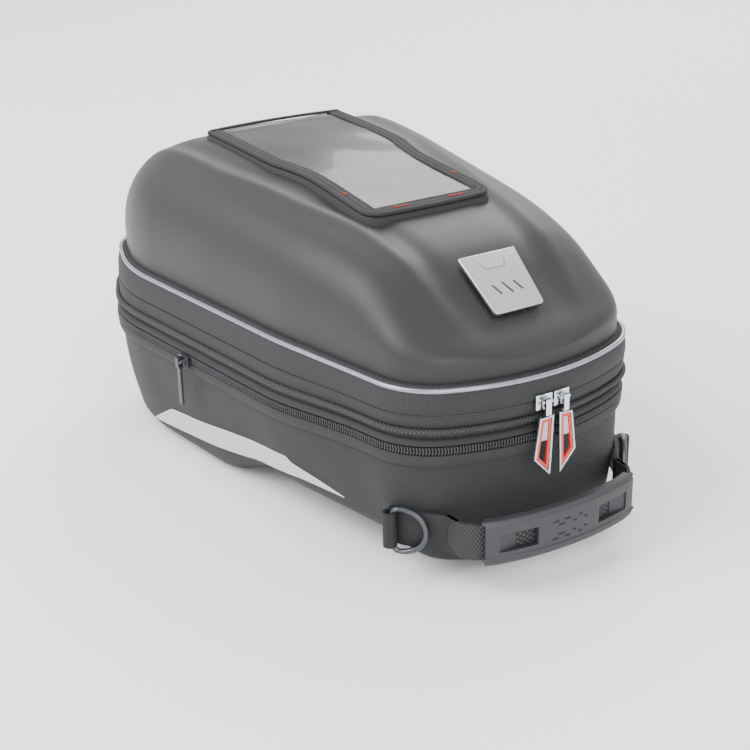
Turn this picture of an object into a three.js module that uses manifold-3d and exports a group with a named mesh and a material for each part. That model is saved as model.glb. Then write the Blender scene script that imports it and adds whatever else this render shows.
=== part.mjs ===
// A motorcycle tank bag: a fabric tub with an arched base, an expansion collar, a hard domed lid with a
// phone pocket, and a lock unit underneath that clips on a tank ring.
// Millimetres. +X is the bag's right, +Y points forward (away from the rider), +Z is up.
import * as THREE from "three";
import { mergeVertices } from "three/addons/utils/BufferGeometryUtils.js";
import Module from "manifold-3d";

const wasm = await Module();
wasm.setup();

// ---- driving dimensions -------------------------------------------------------------------------
const bagLength = 385;
const gap = 0.3; // clearance left between touching pieces
const riderArcRadius = 150; // the rider's end is a wide arc, and both main sliders run along it
const riderArcHalfAngle = THREE.MathUtils.degToRad(22.7);
const riderCornerRadius = 44;

// levels above the floor
const tubTop = 77.5;
const lowerTapeTop = 83;
const upperTapeTop = 88.5;
const weltLevel = 96.5;
const collarTop = 101.4;
const mainZipLevel = 105;
const lidBandTop = 118;
const pipingLevel = 120.2;
const shellBase = 122.4;
const skirtTop = 131;

// walls
const tubWall = 4;
const tubFloor = 4;
const collarWall = 4;
const gussetInset = 8.2;
const gussetThickness = 1.2;
const shellWall = 4;
const shellInset = 5; // the hard shell starts this far inside the rim
// the shell's cross section stays level to its shoulders and then drops steeply
const shoulderPower = 5.5;
const shoulderRoot = 0.42;
const edgeRadius = 15; // rounding of the tub's lower edge

// the arch under the rider's half of the tub, which clears the tank and holds the lock unit
const archHeight = 19;
const archStart = 12;
const archFlatStart = 54;
const archFlatEnd = 158;
const archEnd = 216;

// how far the walls lean out from the rim's outline, as [level, distance]: the sides belly out at the
// expansion zip, and the rider's end stands back under the rim
const sideLean = [
  [0, 0],
  [30, 3.5],
  [72, 8],
  [90, 7.5],
  [104, 4],
  [118, 0.5],
  [122, 0],
];
const riderLean = [
  [0, -1],
  [90, -2.5],
  [104, -1.5],
  [118, 0],
];
const sideLeanRuns = [55, 130, 300, 372]; // grows between the first two stations, fades between the others

// phone pocket on the lid
const pocketPitch = THREE.MathUtils.degToRad(3.6);
const pocketStart = 116; // rider's edge of the frame
const pocketTop = 190.5; // top of the frame at that edge
const pocketLength = 190;
const pocketWidth = 100;
const pocketWall = 6.5;
const pocketDepth = 12.5;
const pocketCorner = 10;
const pocketLip = 2.6; // thickness of the frame over the phone's room
const linerThickness = 1.8;
const windowWidth = 84;
const windowLength = 172;
const filmThickness = 0.9;

// badge on the lid's rider slope
const badgeSlope = THREE.MathUtils.degToRad(36);
const badgeCentre = new THREE.Vector3(0, 46.6, 158.8);
const badgeTopWidth = 40;
const badgeBottomWidth = 35;
const badgeLength = 41;
const badgeThickness = 2.6;
const badgeStandOff = 1.9;
const studRadius = 2;

// lock unit
const lockCentreY = 106;
const lockOuterRadius = 50;
const lockBoreRadius = 38;
const lockBottom = 2.5;
const lockTop = archHeight - gap;
const latchWidth = 26;
const latchThickness = 4;
const latchReach = 3; // how far the tongue stands into the bore
const screwCircle = 44;
const screwRadius = 2;

// handle and D-rings
const webbingWidth = 22;
const webbingThickness = 2.2;
const handleLevel = 34;
const gripHeight = 27;
const gripThickness = 8;
const gripHalfLength = 56;
// The handle swings about a line across the bag; each strap end is a round tongue in a round notch.
const hingeY = -2;
const tongueRadius = 11.3;
const ringWire = 2.1;
const ringHeight = 33;
const ringDepth = 26;

// main zip pulls
const sliderLength = 11;
const sliderMeet = 1; // the two sliders meet this far right of the middle
const expansionSliderY = 218;
const pullLength = 38;
const pullWidth = 13;
const barReach = 6.5; // from the zip's face to the bar that carries a pull
const barRise = 1.2; // the bar's height over the middle of its slider
const barSize = 1.5;
const pullRim = 1.3; // width of a pull's metal edge
const pullInlay = 3; // from a pull's edge to its inlay

// ---- materials ----------------------------------------------------------------------------------
const finish = (color, roughness, metalness = 0, extra = {}) =>
  new THREE.MeshStandardMaterial({ color, roughness, metalness, ...extra });
const nylon = finish(0x2b2b2d, 0.85);
const shellFoam = finish(0x2f3032, 0.7);
const zipTape = finish(0x1d1d1f, 0.8);
const coilPlastic = finish(0x18181a, 0.45);
const silverPiping = finish(0xb9bcc0, 0.35, 0.3);
const rubber = finish(0x333436, 0.75);
const webbing = finish(0x1c1c1e, 0.85);
const blackPlastic = finish(0x1e1f21, 0.5);
const clearFilm = finish(0x2a2c2e, 0.08, 0, { transparent: true, opacity: 0.35 });
const satinMetal = finish(0xb8bbbf, 0.35, 1);
const chrome = finish(0xd4d6d9, 0.15, 1);
const darkMetal = finish(0x3a3b3d, 0.35, 1);
const redEnamel = finish(0xc4281e, 0.4);
const greyInlay = finish(0x8b8d90, 0.5);
const steel = finish(0x9a9c9f, 0.35, 1);
const boardPlastic = finish(0x202123, 0.6);

// ---- mesh helpers -------------------------------------------------------------------------------
const tankBag = new THREE.Group();

function addPiece(name, geometry, material, parent = tankBag) {
  const mesh = new THREE.Mesh(geometry, material);
  mesh.name = name;
  parent.add(mesh);
  return mesh;
}

function geometryFrom(points, faces) {
  const flat = points.flatMap((p) => [p.x, p.y, p.z]);
  const geometry = new THREE.BufferGeometry();
  geometry.setAttribute("position", new THREE.Float32BufferAttribute(flat, 3));
  let volume = 0;
  for (const [a, b, c] of faces)
    volume += points[a].dot(new THREE.Vector3().crossVectors(points[b], points[c]));
  geometry.setIndex(volume < 0 ? faces.flatMap(([a, b, c]) => [a, c, b]) : faces.flat());
  geometry.computeVertexNormals();
  return geometry;
}

// Joins rings of equal point counts; the ends are closed by fans, or joined when endless is true.
function loft(rings, endless = false) {
  const count = rings[0].length;
  const points = rings.flat();
  const faces = [];
  const last = endless ? rings.length : rings.length - 1;
  for (let r = 0; r < last; r++) {
    for (let i = 0; i < count; i++) {
      const a = r * count + i;
      const b = r * count + ((i + 1) % count);
      const c = ((r + 1) % rings.length) * count + i;
      const d = ((r + 1) % rings.length) * count + ((i + 1) % count);
      faces.push([a, b, d], [a, d, c]);
    }
  }
  if (!endless) {
    for (const start of [0, (rings.length - 1) * count]) {
      const hub = points.length;
      const middle = new THREE.Vector3();
      for (let i = 0; i < count; i++) middle.add(points[start + i]);
      points.push(middle.divideScalar(count));
      for (let i = 0; i < count; i++) {
        const a = start + i;
        const b = start + ((i + 1) % count);
        faces.push(start === 0 ? [b, a, hub] : [a, b, hub]);
      }
    }
  }
  return geometryFrom(points, faces);
}

function solid(geometry, matrix = new THREE.Matrix4()) {
  const bare = geometry.clone().applyMatrix4(matrix);
  for (const name of ["normal", "uv"]) bare.deleteAttribute(name);
  const merged = mergeVertices(bare, 1e-4);
  return new wasm.Manifold(
    new wasm.Mesh({
      numProp: 3,
      vertProperties: merged.attributes.position.array,
      triVerts: new Uint32Array(merged.index.array),
    }),
  );
}

function geometryOf(manifold) {
  const mesh = manifold.getMesh();
  const geometry = new THREE.BufferGeometry();
  geometry.setAttribute("position", new THREE.BufferAttribute(mesh.vertProperties, 3));
  geometry.setIndex(new THREE.BufferAttribute(mesh.triVerts, 1));
  geometry.computeVertexNormals();
  return geometry;
}

const at = (x, y, z) => new THREE.Matrix4().makeTranslation(x, y, z);
const box = (w, d, h, x, y, z) => solid(new THREE.BoxGeometry(w, d, h), at(x, y, z));

function cylinder(radius, height, x, y, z, sides = 24) {
  const upright = new THREE.Matrix4().makeRotationX(Math.PI / 2);
  return solid(new THREE.CylinderGeometry(radius, radius, height, sides), at(x, y, z).multiply(upright));
}

// A flat plate from a shape, lying from z = 0 up to the thickness.
const plate = (shape, thickness, curveSegments = 4) =>
  new THREE.ExtrudeGeometry(shape, { depth: thickness, bevelEnabled: false, curveSegments });

function roundedRectangle(width, length, radius, x = 0, y = 0) {
  const shape = new THREE.Shape();
  const [w, l] = [width / 2 - radius, length / 2 - radius];
  shape.absarc(x + w, y + l, radius, 0, Math.PI / 2);
  shape.absarc(x - w, y + l, radius, Math.PI / 2, Math.PI);
  shape.absarc(x - w, y - l, radius, Math.PI, 1.5 * Math.PI);
  shape.absarc(x + w, y - l, radius, 1.5 * Math.PI, 2 * Math.PI);
  shape.closePath();
  return shape;
}

// ---- the plan outline shared by every band ------------------------------------------------------
const riderApex = riderArcRadius - riderArcRadius / Math.cos(riderArcHalfAngle);
const outlineCorners = [
  { x: 0, y: riderApex, radius: riderArcRadius, steps: 6 },
  { x: 82, y: 21.7, radius: riderCornerRadius, steps: 4 },
  { x: 101.5, y: 131, radius: 300, steps: 1 },
  { x: 120, y: 303, radius: 120, steps: 2 },
  { x: 97, y: bagLength - 9, radius: 50, steps: 4 },
  { x: 0, y: bagLength, radius: 400, steps: 2 },
];

// Points of the outline with outward normals, anticlockwise from the middle of the rider's end.
function makeOutline() {
  const right = outlineCorners.slice(1, -1);
  const left = right.map((c) => ({ ...c, x: -c.x })).reverse();
  const corners = [outlineCorners[0], ...right, outlineCorners.at(-1), ...left];
  const stations = [];
  corners.forEach((corner, i) => {
    const here = new THREE.Vector2(corner.x, corner.y);
    const before = corners.at(i - 1);
    const after = corners[(i + 1) % corners.length];
    const into = here.clone().sub(new THREE.Vector2(before.x, before.y)).normalize();
    const out = new THREE.Vector2(after.x, after.y).sub(here).normalize();
    const turn = Math.acos(THREE.MathUtils.clamp(into.dot(out), -1, 1));
    const start = here.clone().addScaledVector(into, -corner.radius * Math.tan(turn / 2));
    const centre = start.clone().add(new THREE.Vector2(-into.y, into.x).multiplyScalar(corner.radius));
    for (let k = 0; k <= corner.steps; k++) {
      const angle = Math.atan2(into.y, into.x) + (turn * k) / corner.steps;
      const normal = new THREE.Vector2(Math.sin(angle), -Math.cos(angle));
      const point = centre.clone().addScaledVector(normal, corner.radius);
      const [grow, full, fade, gone] = sideLeanRuns;
      const { smoothstep } = THREE.MathUtils;
      const side = smoothstep(point.y, grow, full) * (1 - smoothstep(point.y, fade, gone));
      const rider = 1 - smoothstep(point.y, 0, grow);
      stations.push({ point, normal, centre, corner: i, side, rider });
    }
  });
  return stations;
}
const outline = makeOutline();

function leanAt(table, z) {
  const i = Math.max(1, table.findIndex(([level]) => level >= z));
  if (z >= table.at(-1)[0]) return table.at(-1)[1];
  return THREE.MathUtils.mapLinear(z, table[i - 1][0], table[i][0], table[i - 1][1], table[i][1]);
}

// A point of the bag's wall at a station, the given distance inside the wall's own face.
function wallPoint({ point, normal, side = 0, rider = 0 }, inset, z) {
  const lean = side * leanAt(sideLean, z) + rider * leanAt(riderLean, z);
  const p = point.clone().addScaledVector(normal, lean - inset);
  return new THREE.Vector3(p.x, p.y, z);
}

const ringAt = (inset, z) => outline.map((station) => wallPoint(station, inset, z));

// A band right round the bag; each corner of its section is [inset, z].
const band = (section) => loft(section.map(([inset, z]) => ringAt(inset, z)), true);

// A band along part of the outline, closed flat at both ends.
function openBand(stations, section) {
  return loft(stations.map((station) => section.map(([inset, z]) => wallPoint(station, inset, z))));
}

// The section of a round cord of the given radius.
function cordSection(inset, z, radius, sides = 6) {
  const section = [];
  for (let i = 0; i < sides; i++) {
    const angle = (2 * Math.PI * i) / sides;
    section.push([inset + radius * Math.cos(angle), z + radius * Math.sin(angle)]);
  }
  return section;
}

const rectangleSection = (inset, thickness, low, high) => [
  [inset, low],
  [inset, high],
  [inset + thickness, high],
  [inset + thickness, low],
];

// ---- tub ----------------------------------------------------------------------------------------
function archLevel(y) {
  if (y <= archStart || y >= archEnd) return 0;
  const rise = THREE.MathUtils.smoothstep(y, archStart, archFlatStart);
  const fall = 1 - THREE.MathUtils.smoothstep(y, archFlatEnd, archEnd);
  return archHeight * Math.min(rise, fall);
}

// Stations along the arch, shared by everything that follows it so that all meet the same facets.
const archBreaks = [
  ...[0, 0.2, 0.4, 0.6, 0.8, 1].map((t) => THREE.MathUtils.lerp(archStart, archFlatStart, t)),
  ...[0, 0.2, 0.4, 0.6, 0.8, 1].map((t) => THREE.MathUtils.lerp(archFlatEnd, archEnd, t)),
];

// A sheet right across the bag that follows the arch, from one offset above it to another.
function archSheet(low, high, start, end) {
  const width = bagLength;
  const breaks = [start, ...archBreaks.filter((y) => y > start + 1 && y < end - 1), end];
  const sections = breaks.map((y) => {
    const arch = archLevel(y);
    const bottom = low === null ? -bagLength : arch + low;
    return [
      new THREE.Vector3(-width, y, bottom),
      new THREE.Vector3(width, y, bottom),
      new THREE.Vector3(width, y, arch + high),
      new THREE.Vector3(-width, y, arch + high),
    ];
  });
  return solid(loft(sections));
}

const tubInset = (z) => THREE.MathUtils.mapLinear(z, 0, tubTop, 6.5, 2);

function tubRings(extraInset, low, high) {
  const rings = [];
  for (let k = 0; k <= 3; k++) {
    const angle = (Math.PI / 2) * (k / 3);
    const z = low + edgeRadius * (1 - Math.cos(angle));
    rings.push(ringAt(tubInset(z) + extraInset + edgeRadius * (1 - Math.sin(angle)), z));
  }
  for (const z of new Set([30, 55, tubTop, high])) rings.push(ringAt(tubInset(z) + extraInset, z));
  return rings;
}

function buildTub() {
  const outer = solid(loft(tubRings(0, 0, tubTop)));
  const inner = solid(loft(tubRings(tubWall, tubFloor, tubTop + 20)));
  const underArch = archSheet(null, 0, archStart, archEnd);
  const overArch = archSheet(null, tubFloor, archStart - tubFloor, archEnd + tubFloor);
  const screws = lockScrewPlaces().map(([x, y]) => cylinder(screwRadius + gap, 20, x, y, archHeight, 8));
  const cavity = inner.subtract(overArch);
  const body = outer.subtract(cavity).subtract(underArch);
  addPiece("tub_shell", geometryOf(screws.reduce((s, hole) => s.subtract(hole), body)), nylon);
}

function buildBaseBoard() {
  const sheet = archSheet(tubFloor + gap, tubFloor + 2.6, 18, bagLength - 22);
  const limit = solid(loft([ringAt(27, 0), ringAt(27, 60)]));
  const screws = lockScrewPlaces().map(([x, y]) => cylinder(screwRadius + gap, 20, x, y, archHeight + 5, 8));
  const board = screws.reduce((s, hole) => s.subtract(hole), sheet.intersect(limit));
  addPiece("base_board", geometryOf(board), boardPlastic);
}

// ---- lock unit under the arch -------------------------------------------------------------------
function lockScrewPlaces() {
  return [45, 135, 225, 315].map((degrees) => {
    const angle = THREE.MathUtils.degToRad(degrees);
    return [screwCircle * Math.cos(angle), lockCentreY + screwCircle * Math.sin(angle)];
  });
}

const latchMiddle = lockBottom + 4.9; // low enough to leave the seat above it free
// The unit is drawn with its latch towards -Y, then turned so that the latch pulls out to the right.
const lockTurn = at(0, lockCentreY, 0)
  .multiply(new THREE.Matrix4().makeRotationZ(Math.PI / 2))
  .multiply(at(0, -lockCentreY, 0));
const noseLength = 20; // the housing reaches this far past its ring towards the rider
const latchBack = lockCentreY - lockOuterRadius - 2;
const latchFront = lockCentreY - lockBoreRadius + latchReach;
const springRoom = 9;
const stemRadius = 1.1;

function buildLock() {
  const height = lockTop - lockBottom;
  const middle = (lockTop + lockBottom) / 2;
  const ring = cylinder(lockOuterRadius, height, 0, lockCentreY, middle, 28);
  const noseWidth = latchWidth + 14;
  const noseEnd = lockCentreY - lockOuterRadius - noseLength;
  const noseRoot = lockCentreY - lockOuterRadius + 14;
  const nose = box(noseWidth, noseRoot - noseEnd, height, 0, (noseRoot + noseEnd) / 2, middle);
  const bore = cylinder(lockBoreRadius, height - 3, 0, lockCentreY, middle - 3, 28);
  const boreMouth = cylinder(lockBoreRadius, 4, 0, lockCentreY, lockBottom, 28);
  const slotEnd = latchBack - springRoom;
  const slotLength = lockCentreY - slotEnd;
  const [slotWidth, slotHeight] = [latchWidth + 2 * gap, latchThickness + 2 * gap];
  const slot = box(slotWidth, slotLength, slotHeight, 0, slotEnd + slotLength / 2, latchMiddle);
  const stemHole = cylinder(stemRadius + gap, 2 * noseLength, 0, 0, 0, 12)
    .rotate([90, 0, 0])
    .translate([0, slotEnd - 8, latchMiddle]);
  const screwHoles = lockScrewPlaces().map(([x, y]) => cylinder(screwRadius + gap, 40, x, y, middle, 8));
  const headSinks = lockScrewPlaces().map(([x, y]) => cylinder(4 + gap, 3, x, y, lockBottom, 8));
  const cuts = [bore, boreMouth, slot, stemHole, ...screwHoles, ...headSinks];
  const housing = cuts.reduce((s, cut) => s.subtract(cut), ring.add(nose));
  addPiece("lock_housing", geometryOf(housing), blackPlastic).applyMatrix4(lockTurn);

  const tongueMiddle = (latchFront + latchBack) / 2;
  const tongue = box(latchWidth, latchFront - latchBack, latchThickness, 0, tongueMiddle, latchMiddle);
  const stemLength = springRoom + 24;
  const stem = cylinder(stemRadius, stemLength, 0, 0, 0, 10)
    .rotate([90, 0, 0])
    .translate([0, latchBack - stemLength / 2 + 1, latchMiddle]);
  const rim = cylinder(lockBoreRadius - latchReach, 40, 0, lockCentreY, latchMiddle, 28);
  addPiece("lock_latch", geometryOf(tongue.add(stem).subtract(rim)), steel).applyMatrix4(lockTurn);

  const tabStart = latchBack - stemLength + 1;
  const tab = new THREE.Shape();
  tab.absarc(0, tabStart - 10, 9, -0.15 * Math.PI, 1.15 * Math.PI, true);
  tab.lineTo(-4, tabStart - gap);
  tab.lineTo(4, tabStart - gap);
  tab.closePath();
  const tabHole = new THREE.Path();
  tabHole.absarc(0, tabStart - 10, 4.5, 0, 2 * Math.PI, false);
  tab.holes.push(tabHole);
  const pullTab = addPiece("lock_release_tab", plate(tab, 3, 8), rubber);
  pullTab.applyMatrix4(lockTurn.clone().multiply(at(0, 0, latchMiddle - 1.5)));

  const spring = addPiece("lock_spring", coilSpring(stemRadius + 0.85, 0.4, springRoom - 2, 4), steel);
  spring.applyMatrix4(lockTurn.clone().multiply(at(0, latchBack - springRoom + 1, latchMiddle)));
  lockScrewPlaces().forEach(([x, y], i) => addPiece(`lock_screw_${i + 1}`, lockScrew(x, y), steel));
  const plateDisc = cylinder(lockOuterRadius, 2, 0, lockCentreY, archHeight + tubFloor + 2.6 + gap + 1, 24);
  const plateHoles = lockScrewPlaces().map(([x, y]) => cylinder(screwRadius + gap, 40, x, y, archHeight, 8));
  addPiece("lock_clamp_plate", geometryOf(plateHoles.reduce((s, h) => s.subtract(h), plateDisc)), steel);
}

function lockScrew(x, y) {
  const head = 4;
  const bottom = lockBottom - 1.2;
  const top = archHeight + tubFloor + 8;
  const profile = [
    new THREE.Vector2(0, bottom),
    new THREE.Vector2(head, bottom),
    new THREE.Vector2(head, bottom + 2.4),
    new THREE.Vector2(screwRadius, bottom + 2.4),
    new THREE.Vector2(screwRadius, top),
    new THREE.Vector2(0, top),
  ];
  const upright = new THREE.Matrix4().makeRotationX(Math.PI / 2);
  return new THREE.LatheGeometry(profile, 8).applyMatrix4(at(x, y, 0).multiply(upright));
}

// A compression spring along +Y from its own origin.
function coilSpring(radius, wire, length, turns) {
  class Helix extends THREE.Curve {
    getPoint(t, target = new THREE.Vector3()) {
      const angle = 2 * Math.PI * turns * t;
      return target.set(radius * Math.cos(angle), length * t, radius * Math.sin(angle));
    }
  }
  const section = new THREE.Shape();
  section.absarc(0, 0, wire, 0, 2 * Math.PI);
  return new THREE.ExtrudeGeometry(section, {
    steps: turns * 8,
    curveSegments: 2,
    extrudePath: new Helix(),
  });
}

// ---- zips, collar and bands ---------------------------------------------------------------------
// The main zip runs from one far corner round the rider's end to the other.
const zipStations = outline.filter(({ point }) => point.y < bagLength - 16);

function orderedZipStations() {
  const first = zipStations.findIndex(({ point }, i) => {
    const next = zipStations[(i + 1) % zipStations.length];
    return point.distanceTo(next.point) > 120;
  });
  return [...zipStations.slice(first + 1), ...zipStations.slice(0, first + 1)];
}

function buildBands() {
  const lowerTape = [
    [1.2, tubTop + gap],
    [-1.2, tubTop + 1.4],
    [-2.2, lowerTapeTop - gap],
    [3.5, lowerTapeTop - gap],
    [3.5, tubTop + gap],
  ];
  addPiece("expansion_zip_lower", band(lowerTape), zipTape);
  const upperTape = [
    [3.5, lowerTapeTop],
    [-2.2, lowerTapeTop],
    [-1.2, upperTapeTop - 1.4],
    [1.2, upperTapeTop - gap],
    [3.5, upperTapeTop - gap],
  ];
  addPiece("expansion_zip_upper", band(upperTape), zipTape);
  addPiece("collar_band", band(rectangleSection(0.4, collarWall, upperTapeTop, collarTop)), nylon);
  addPiece("collar_welt", band(cordSection(-1.9, weltLevel, 1.7)), webbing);
  const gussetSection = [
    ...[58, 72, 90, 96].map((z) => [gussetInset, z]),
    ...[96, 90, 72, 58].map((z) => [gussetInset + gussetThickness, z]),
  ];
  addPiece("expansion_gusset", band(gussetSection), nylon);

  const stations = orderedZipStations();
  const zipHalf = (low, high) => [
    [0.9, low],
    [-0.9, THREE.MathUtils.lerp(low, high, 0.3)],
    [-0.9, THREE.MathUtils.lerp(low, high, 0.7)],
    [0.9, high],
    [3.2, high],
    [3.2, low],
  ];
  const lowerHalf = zipHalf(collarTop + gap, mainZipLevel - gap / 2);
  const upperHalf = zipHalf(mainZipLevel + gap / 2, 2 * mainZipLevel - collarTop - gap);
  addPiece("main_zip_lower", openBand(stations, lowerHalf), coilPlastic);
  addPiece("main_zip_upper", openBand(stations, upperHalf), coilPlastic);

  const lidBandBottom = 2 * mainZipLevel - collarTop;
  addPiece("lid_band", band(rectangleSection(0.4, collarWall, lidBandBottom, lidBandTop)), nylon);
  addPiece("lid_piping", band(cordSection(1.2, pipingLevel, 1.8)), silverPiping);

  const far = outline.filter(({ point }) => point.y > bagLength - 12);
  const hingeStrip = rectangleSection(1, 1.4, collarTop + gap, lidBandBottom - gap);
  addPiece("lid_hinge_strip", openBand(far, hingeStrip), nylon);
}

// ---- lid ----------------------------------------------------------------------------------------
// Height of the shell's outside along the middle of the bag.
const spine = new THREE.SplineCurve(
  [
    [shellInset, skirtTop],
    [14, 137.5],
    [28, 145.5],
    [44, 156.5],
    [60, 168],
    [76, 176.5],
    [100, 183],
    [130, 187.5],
    [215, 195.5],
    [270, 198.5],
    [310, 198],
    [335, 191],
    [352, 177],
    [366, 159],
    [376, 143],
    [bagLength - shellInset, skirtTop],
  ].map(([y, z]) => new THREE.Vector2(y, z)),
).getPoints(240);

function spineLevel(y) {
  const i = spine.findIndex((p) => p.x >= y);
  if (i <= 0) return skirtTop;
  const [a, b] = [spine[i - 1], spine[i]];
  return THREE.MathUtils.mapLinear(y, a.x, b.x, a.y, b.y);
}

// Half width of the shell's foot at a station along the bag.
const shellFoot = ringAt(shellInset, 0);
function footHalfWidth(y) {
  for (let i = 0; i < shellFoot.length; i++) {
    const [a, b] = [shellFoot[i], shellFoot[(i + 1) % shellFoot.length]];
    if (a.x > 0 && a.y <= y && b.y > y) return THREE.MathUtils.mapLinear(y, a.y, b.y, a.x, b.x);
  }
  return 1;
}

function domeLevel(x, y) {
  const across = Math.min(1, Math.abs(x) / footHalfWidth(y));
  const profile = (1 - across ** shoulderPower) ** shoulderRoot;
  return skirtTop + (spineLevel(y) - skirtTop) * profile;
}

const domeHub = new THREE.Vector3(0, 205, 0);
const outerShares = [0.008, 0.03, 0.07, 0.13, 0.22, 0.36, 0.58, 0.84];
const innerShares = [0.03, 0.09, 0.2, 0.42, 0.8];

function domeRings(inset, drop, shares) {
  const foot = ringAt(inset, shellBase);
  const rings = [foot, ringAt(inset, skirtTop - drop)];
  for (const share of shares) {
    rings.push(
      foot.map((p, i) => {
        const hub = new THREE.Vector3(0, THREE.MathUtils.clamp(p.y, domeHub.y - 90, domeHub.y + 60), 0);
        const outer = shellFoot[i].clone().lerp(hub, share);
        const inner = p.clone().lerp(hub, share);
        return new THREE.Vector3(inner.x, inner.y, domeLevel(outer.x, outer.y) - drop);
      }),
    );
  }
  return rings;
}

// Places a piece that is drawn flat in the pocket's own plane: y = 0 at the rider's edge, z = 0 on top.
const pocketPlane = at(0, pocketStart, pocketTop).multiply(new THREE.Matrix4().makeRotationX(pocketPitch));
const badgePlane = at(badgeCentre.x, badgeCentre.y, badgeCentre.z)
  .multiply(new THREE.Matrix4().makeRotationX(badgeSlope))
  .multiply(at(0, 0, badgeStandOff));

function buildShell() {
  const outer = domeRings(shellInset, 0, outerShares);
  const inner = domeRings(shellInset + shellWall, shellWall, innerShares);
  const dome = solid(loft([...inner.reverse(), ...outer]));
  const hole = roundedRectangle(pocketWidth + 2 * gap, pocketLength + 2 * gap, pocketCorner, 0, pocketLength / 2);
  const cutOut = solid(plate(hole, 60), pocketPlane.clone().multiply(at(0, 0, -30)));
  const mouth = solid(
    new THREE.BoxGeometry(pocketWidth - 2 * pocketWall, 70, 30),
    pocketPlane.clone().multiply(at(0, pocketLength + 30, 15 - pocketDepth)),
  );
  const studHoles = [-10, 10].map((x) =>
    solid(
      new THREE.CylinderGeometry(studRadius + gap, studRadius + gap, 24, 12).rotateX(Math.PI / 2),
      badgePlane.clone().multiply(at(x, 0, -8)),
    ),
  );
  const shell = [cutOut, mouth, ...studHoles].reduce((s, cut) => s.subtract(cut), dome);
  addPiece("lid_shell", geometryOf(shell), shellFoam);
}

function buildPocket() {
  const middle = pocketLength / 2;
  const opening = roundedRectangle(windowWidth - 5, windowLength - 5, 5, 0, middle);
  const seat = solid(plate(roundedRectangle(windowWidth + 1, windowLength + 1, 6, 0, middle), 2 * filmThickness + 1));
  const room = roundedRectangle(pocketWidth - 2 * pocketWall, pocketLength - 2 * pocketWall, 4, 0, middle);
  const roomDepth = pocketDepth - pocketLip;
  const outerShape = roundedRectangle(pocketWidth, pocketLength, pocketCorner, 0, middle);
  const blank = solid(plate(outerShape, pocketDepth), at(0, 0, -pocketDepth));
  const through = solid(plate(opening, 40), at(0, 0, -20));
  const roomCut = solid(plate(room, roomDepth + 5), at(0, 0, -pocketDepth - 5));
  const roomMiddle = -pocketDepth + (roomDepth - 5) / 2;
  const mouthCut = box(pocketWidth - 2 * pocketWall, 30, roomDepth + 5, 0, pocketLength, roomMiddle);
  const seatCut = seat.translate([0, 0, -filmThickness - gap]);
  const frame = blank.subtract(through).subtract(roomCut).subtract(mouthCut).subtract(seatCut);
  const frameMesh = addPiece("pocket_frame", geometryOf(frame), nylon);
  const film = plate(roundedRectangle(windowWidth, windowLength, 5.5, 0, middle), filmThickness);
  const filmMesh = addPiece("pocket_window", film.translate(0, 0, -filmThickness), clearFilm);
  const liner = plate(outerShape, linerThickness).translate(0, 0, -pocketDepth - gap - linerThickness);
  const linerMesh = addPiece("pocket_liner", liner, nylon);
  for (const mesh of [frameMesh, filmMesh, linerMesh]) {
    mesh.applyMatrix4(pocketPlane);
  }
}

function buildBadge() {
  const shape = new THREE.Shape();
  const half = badgeLength / 2;
  shape.moveTo(-badgeBottomWidth / 2 + 3, -half);
  shape.lineTo(badgeBottomWidth / 2 - 3, -half);
  shape.quadraticCurveTo(badgeBottomWidth / 2, -half, badgeBottomWidth / 2, -half + 3);
  shape.lineTo(badgeTopWidth / 2, half);
  shape.lineTo(-badgeTopWidth / 2, half);
  shape.lineTo(-badgeBottomWidth / 2, -half + 3);
  shape.quadraticCurveTo(-badgeBottomWidth / 2, -half, -badgeBottomWidth / 2 + 3, -half);
  addPiece("badge_plate", plate(shape, badgeThickness, 3), satinMetal).applyMatrix4(badgePlane);
  [-10, 10].forEach((x, i) => {
    const stud = new THREE.CylinderGeometry(studRadius, studRadius, 9, 12).rotateX(Math.PI / 2);
    const piece = addPiece(`badge_stud_${i === 0 ? "left" : "right"}`, stud, steel);
    piece.applyMatrix4(badgePlane.clone().multiply(at(x, 0, -4.5 - gap)));
  });
}

// ---- zip sliders and pulls ----------------------------------------------------------------------
// A frame on the bag's side: its -Y looks out along the normal and its Z is up.
function sideFrame(point, normal, level) {
  const inward = new THREE.Vector3(-normal.x, -normal.y, 0);
  const up = new THREE.Vector3(0, 0, 1);
  const along = new THREE.Vector3().crossVectors(inward, up);
  const matrix = new THREE.Matrix4().makeBasis(along, inward, up);
  return matrix.setPosition(point.x, point.y, level);
}

function riderFrame(along) {
  const angle = along / riderArcRadius;
  const normal = new THREE.Vector2(Math.sin(angle), -Math.cos(angle));
  const zipRadius = riderArcRadius + leanAt(riderLean, mainZipLevel);
  const point = new THREE.Vector2(0, riderArcRadius).addScaledVector(normal, zipRadius);
  return sideFrame(point, normal, mainZipLevel);
}

// Stands a flat plate up so that it faces out of a side frame.
const stand = (geometry) => geometry.rotateX(Math.PI / 2);

function polygon(points) {
  const shape = new THREE.Shape(points.map(([x, y]) => new THREE.Vector2(x, y)));
  shape.closePath();
  return shape;
}

// Moves each edge of a convex anticlockwise polygon inwards by the same distance.
function insetPolygon(points, distance) {
  return points.map((point, i) => {
    const before = points.at(i - 1);
    const after = points[(i + 1) % points.length];
    const a = new THREE.Vector2(point[0] - before[0], point[1] - before[1]).normalize();
    const b = new THREE.Vector2(after[0] - point[0], after[1] - point[1]).normalize();
    const turn = Math.acos(a.dot(b));
    const middle = new THREE.Vector2(-a.y - b.y, a.x + b.x).normalize();
    const reach = distance / Math.cos(turn / 2);
    return [point[0] + middle.x * reach, point[1] + middle.y * reach];
  });
}

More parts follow.
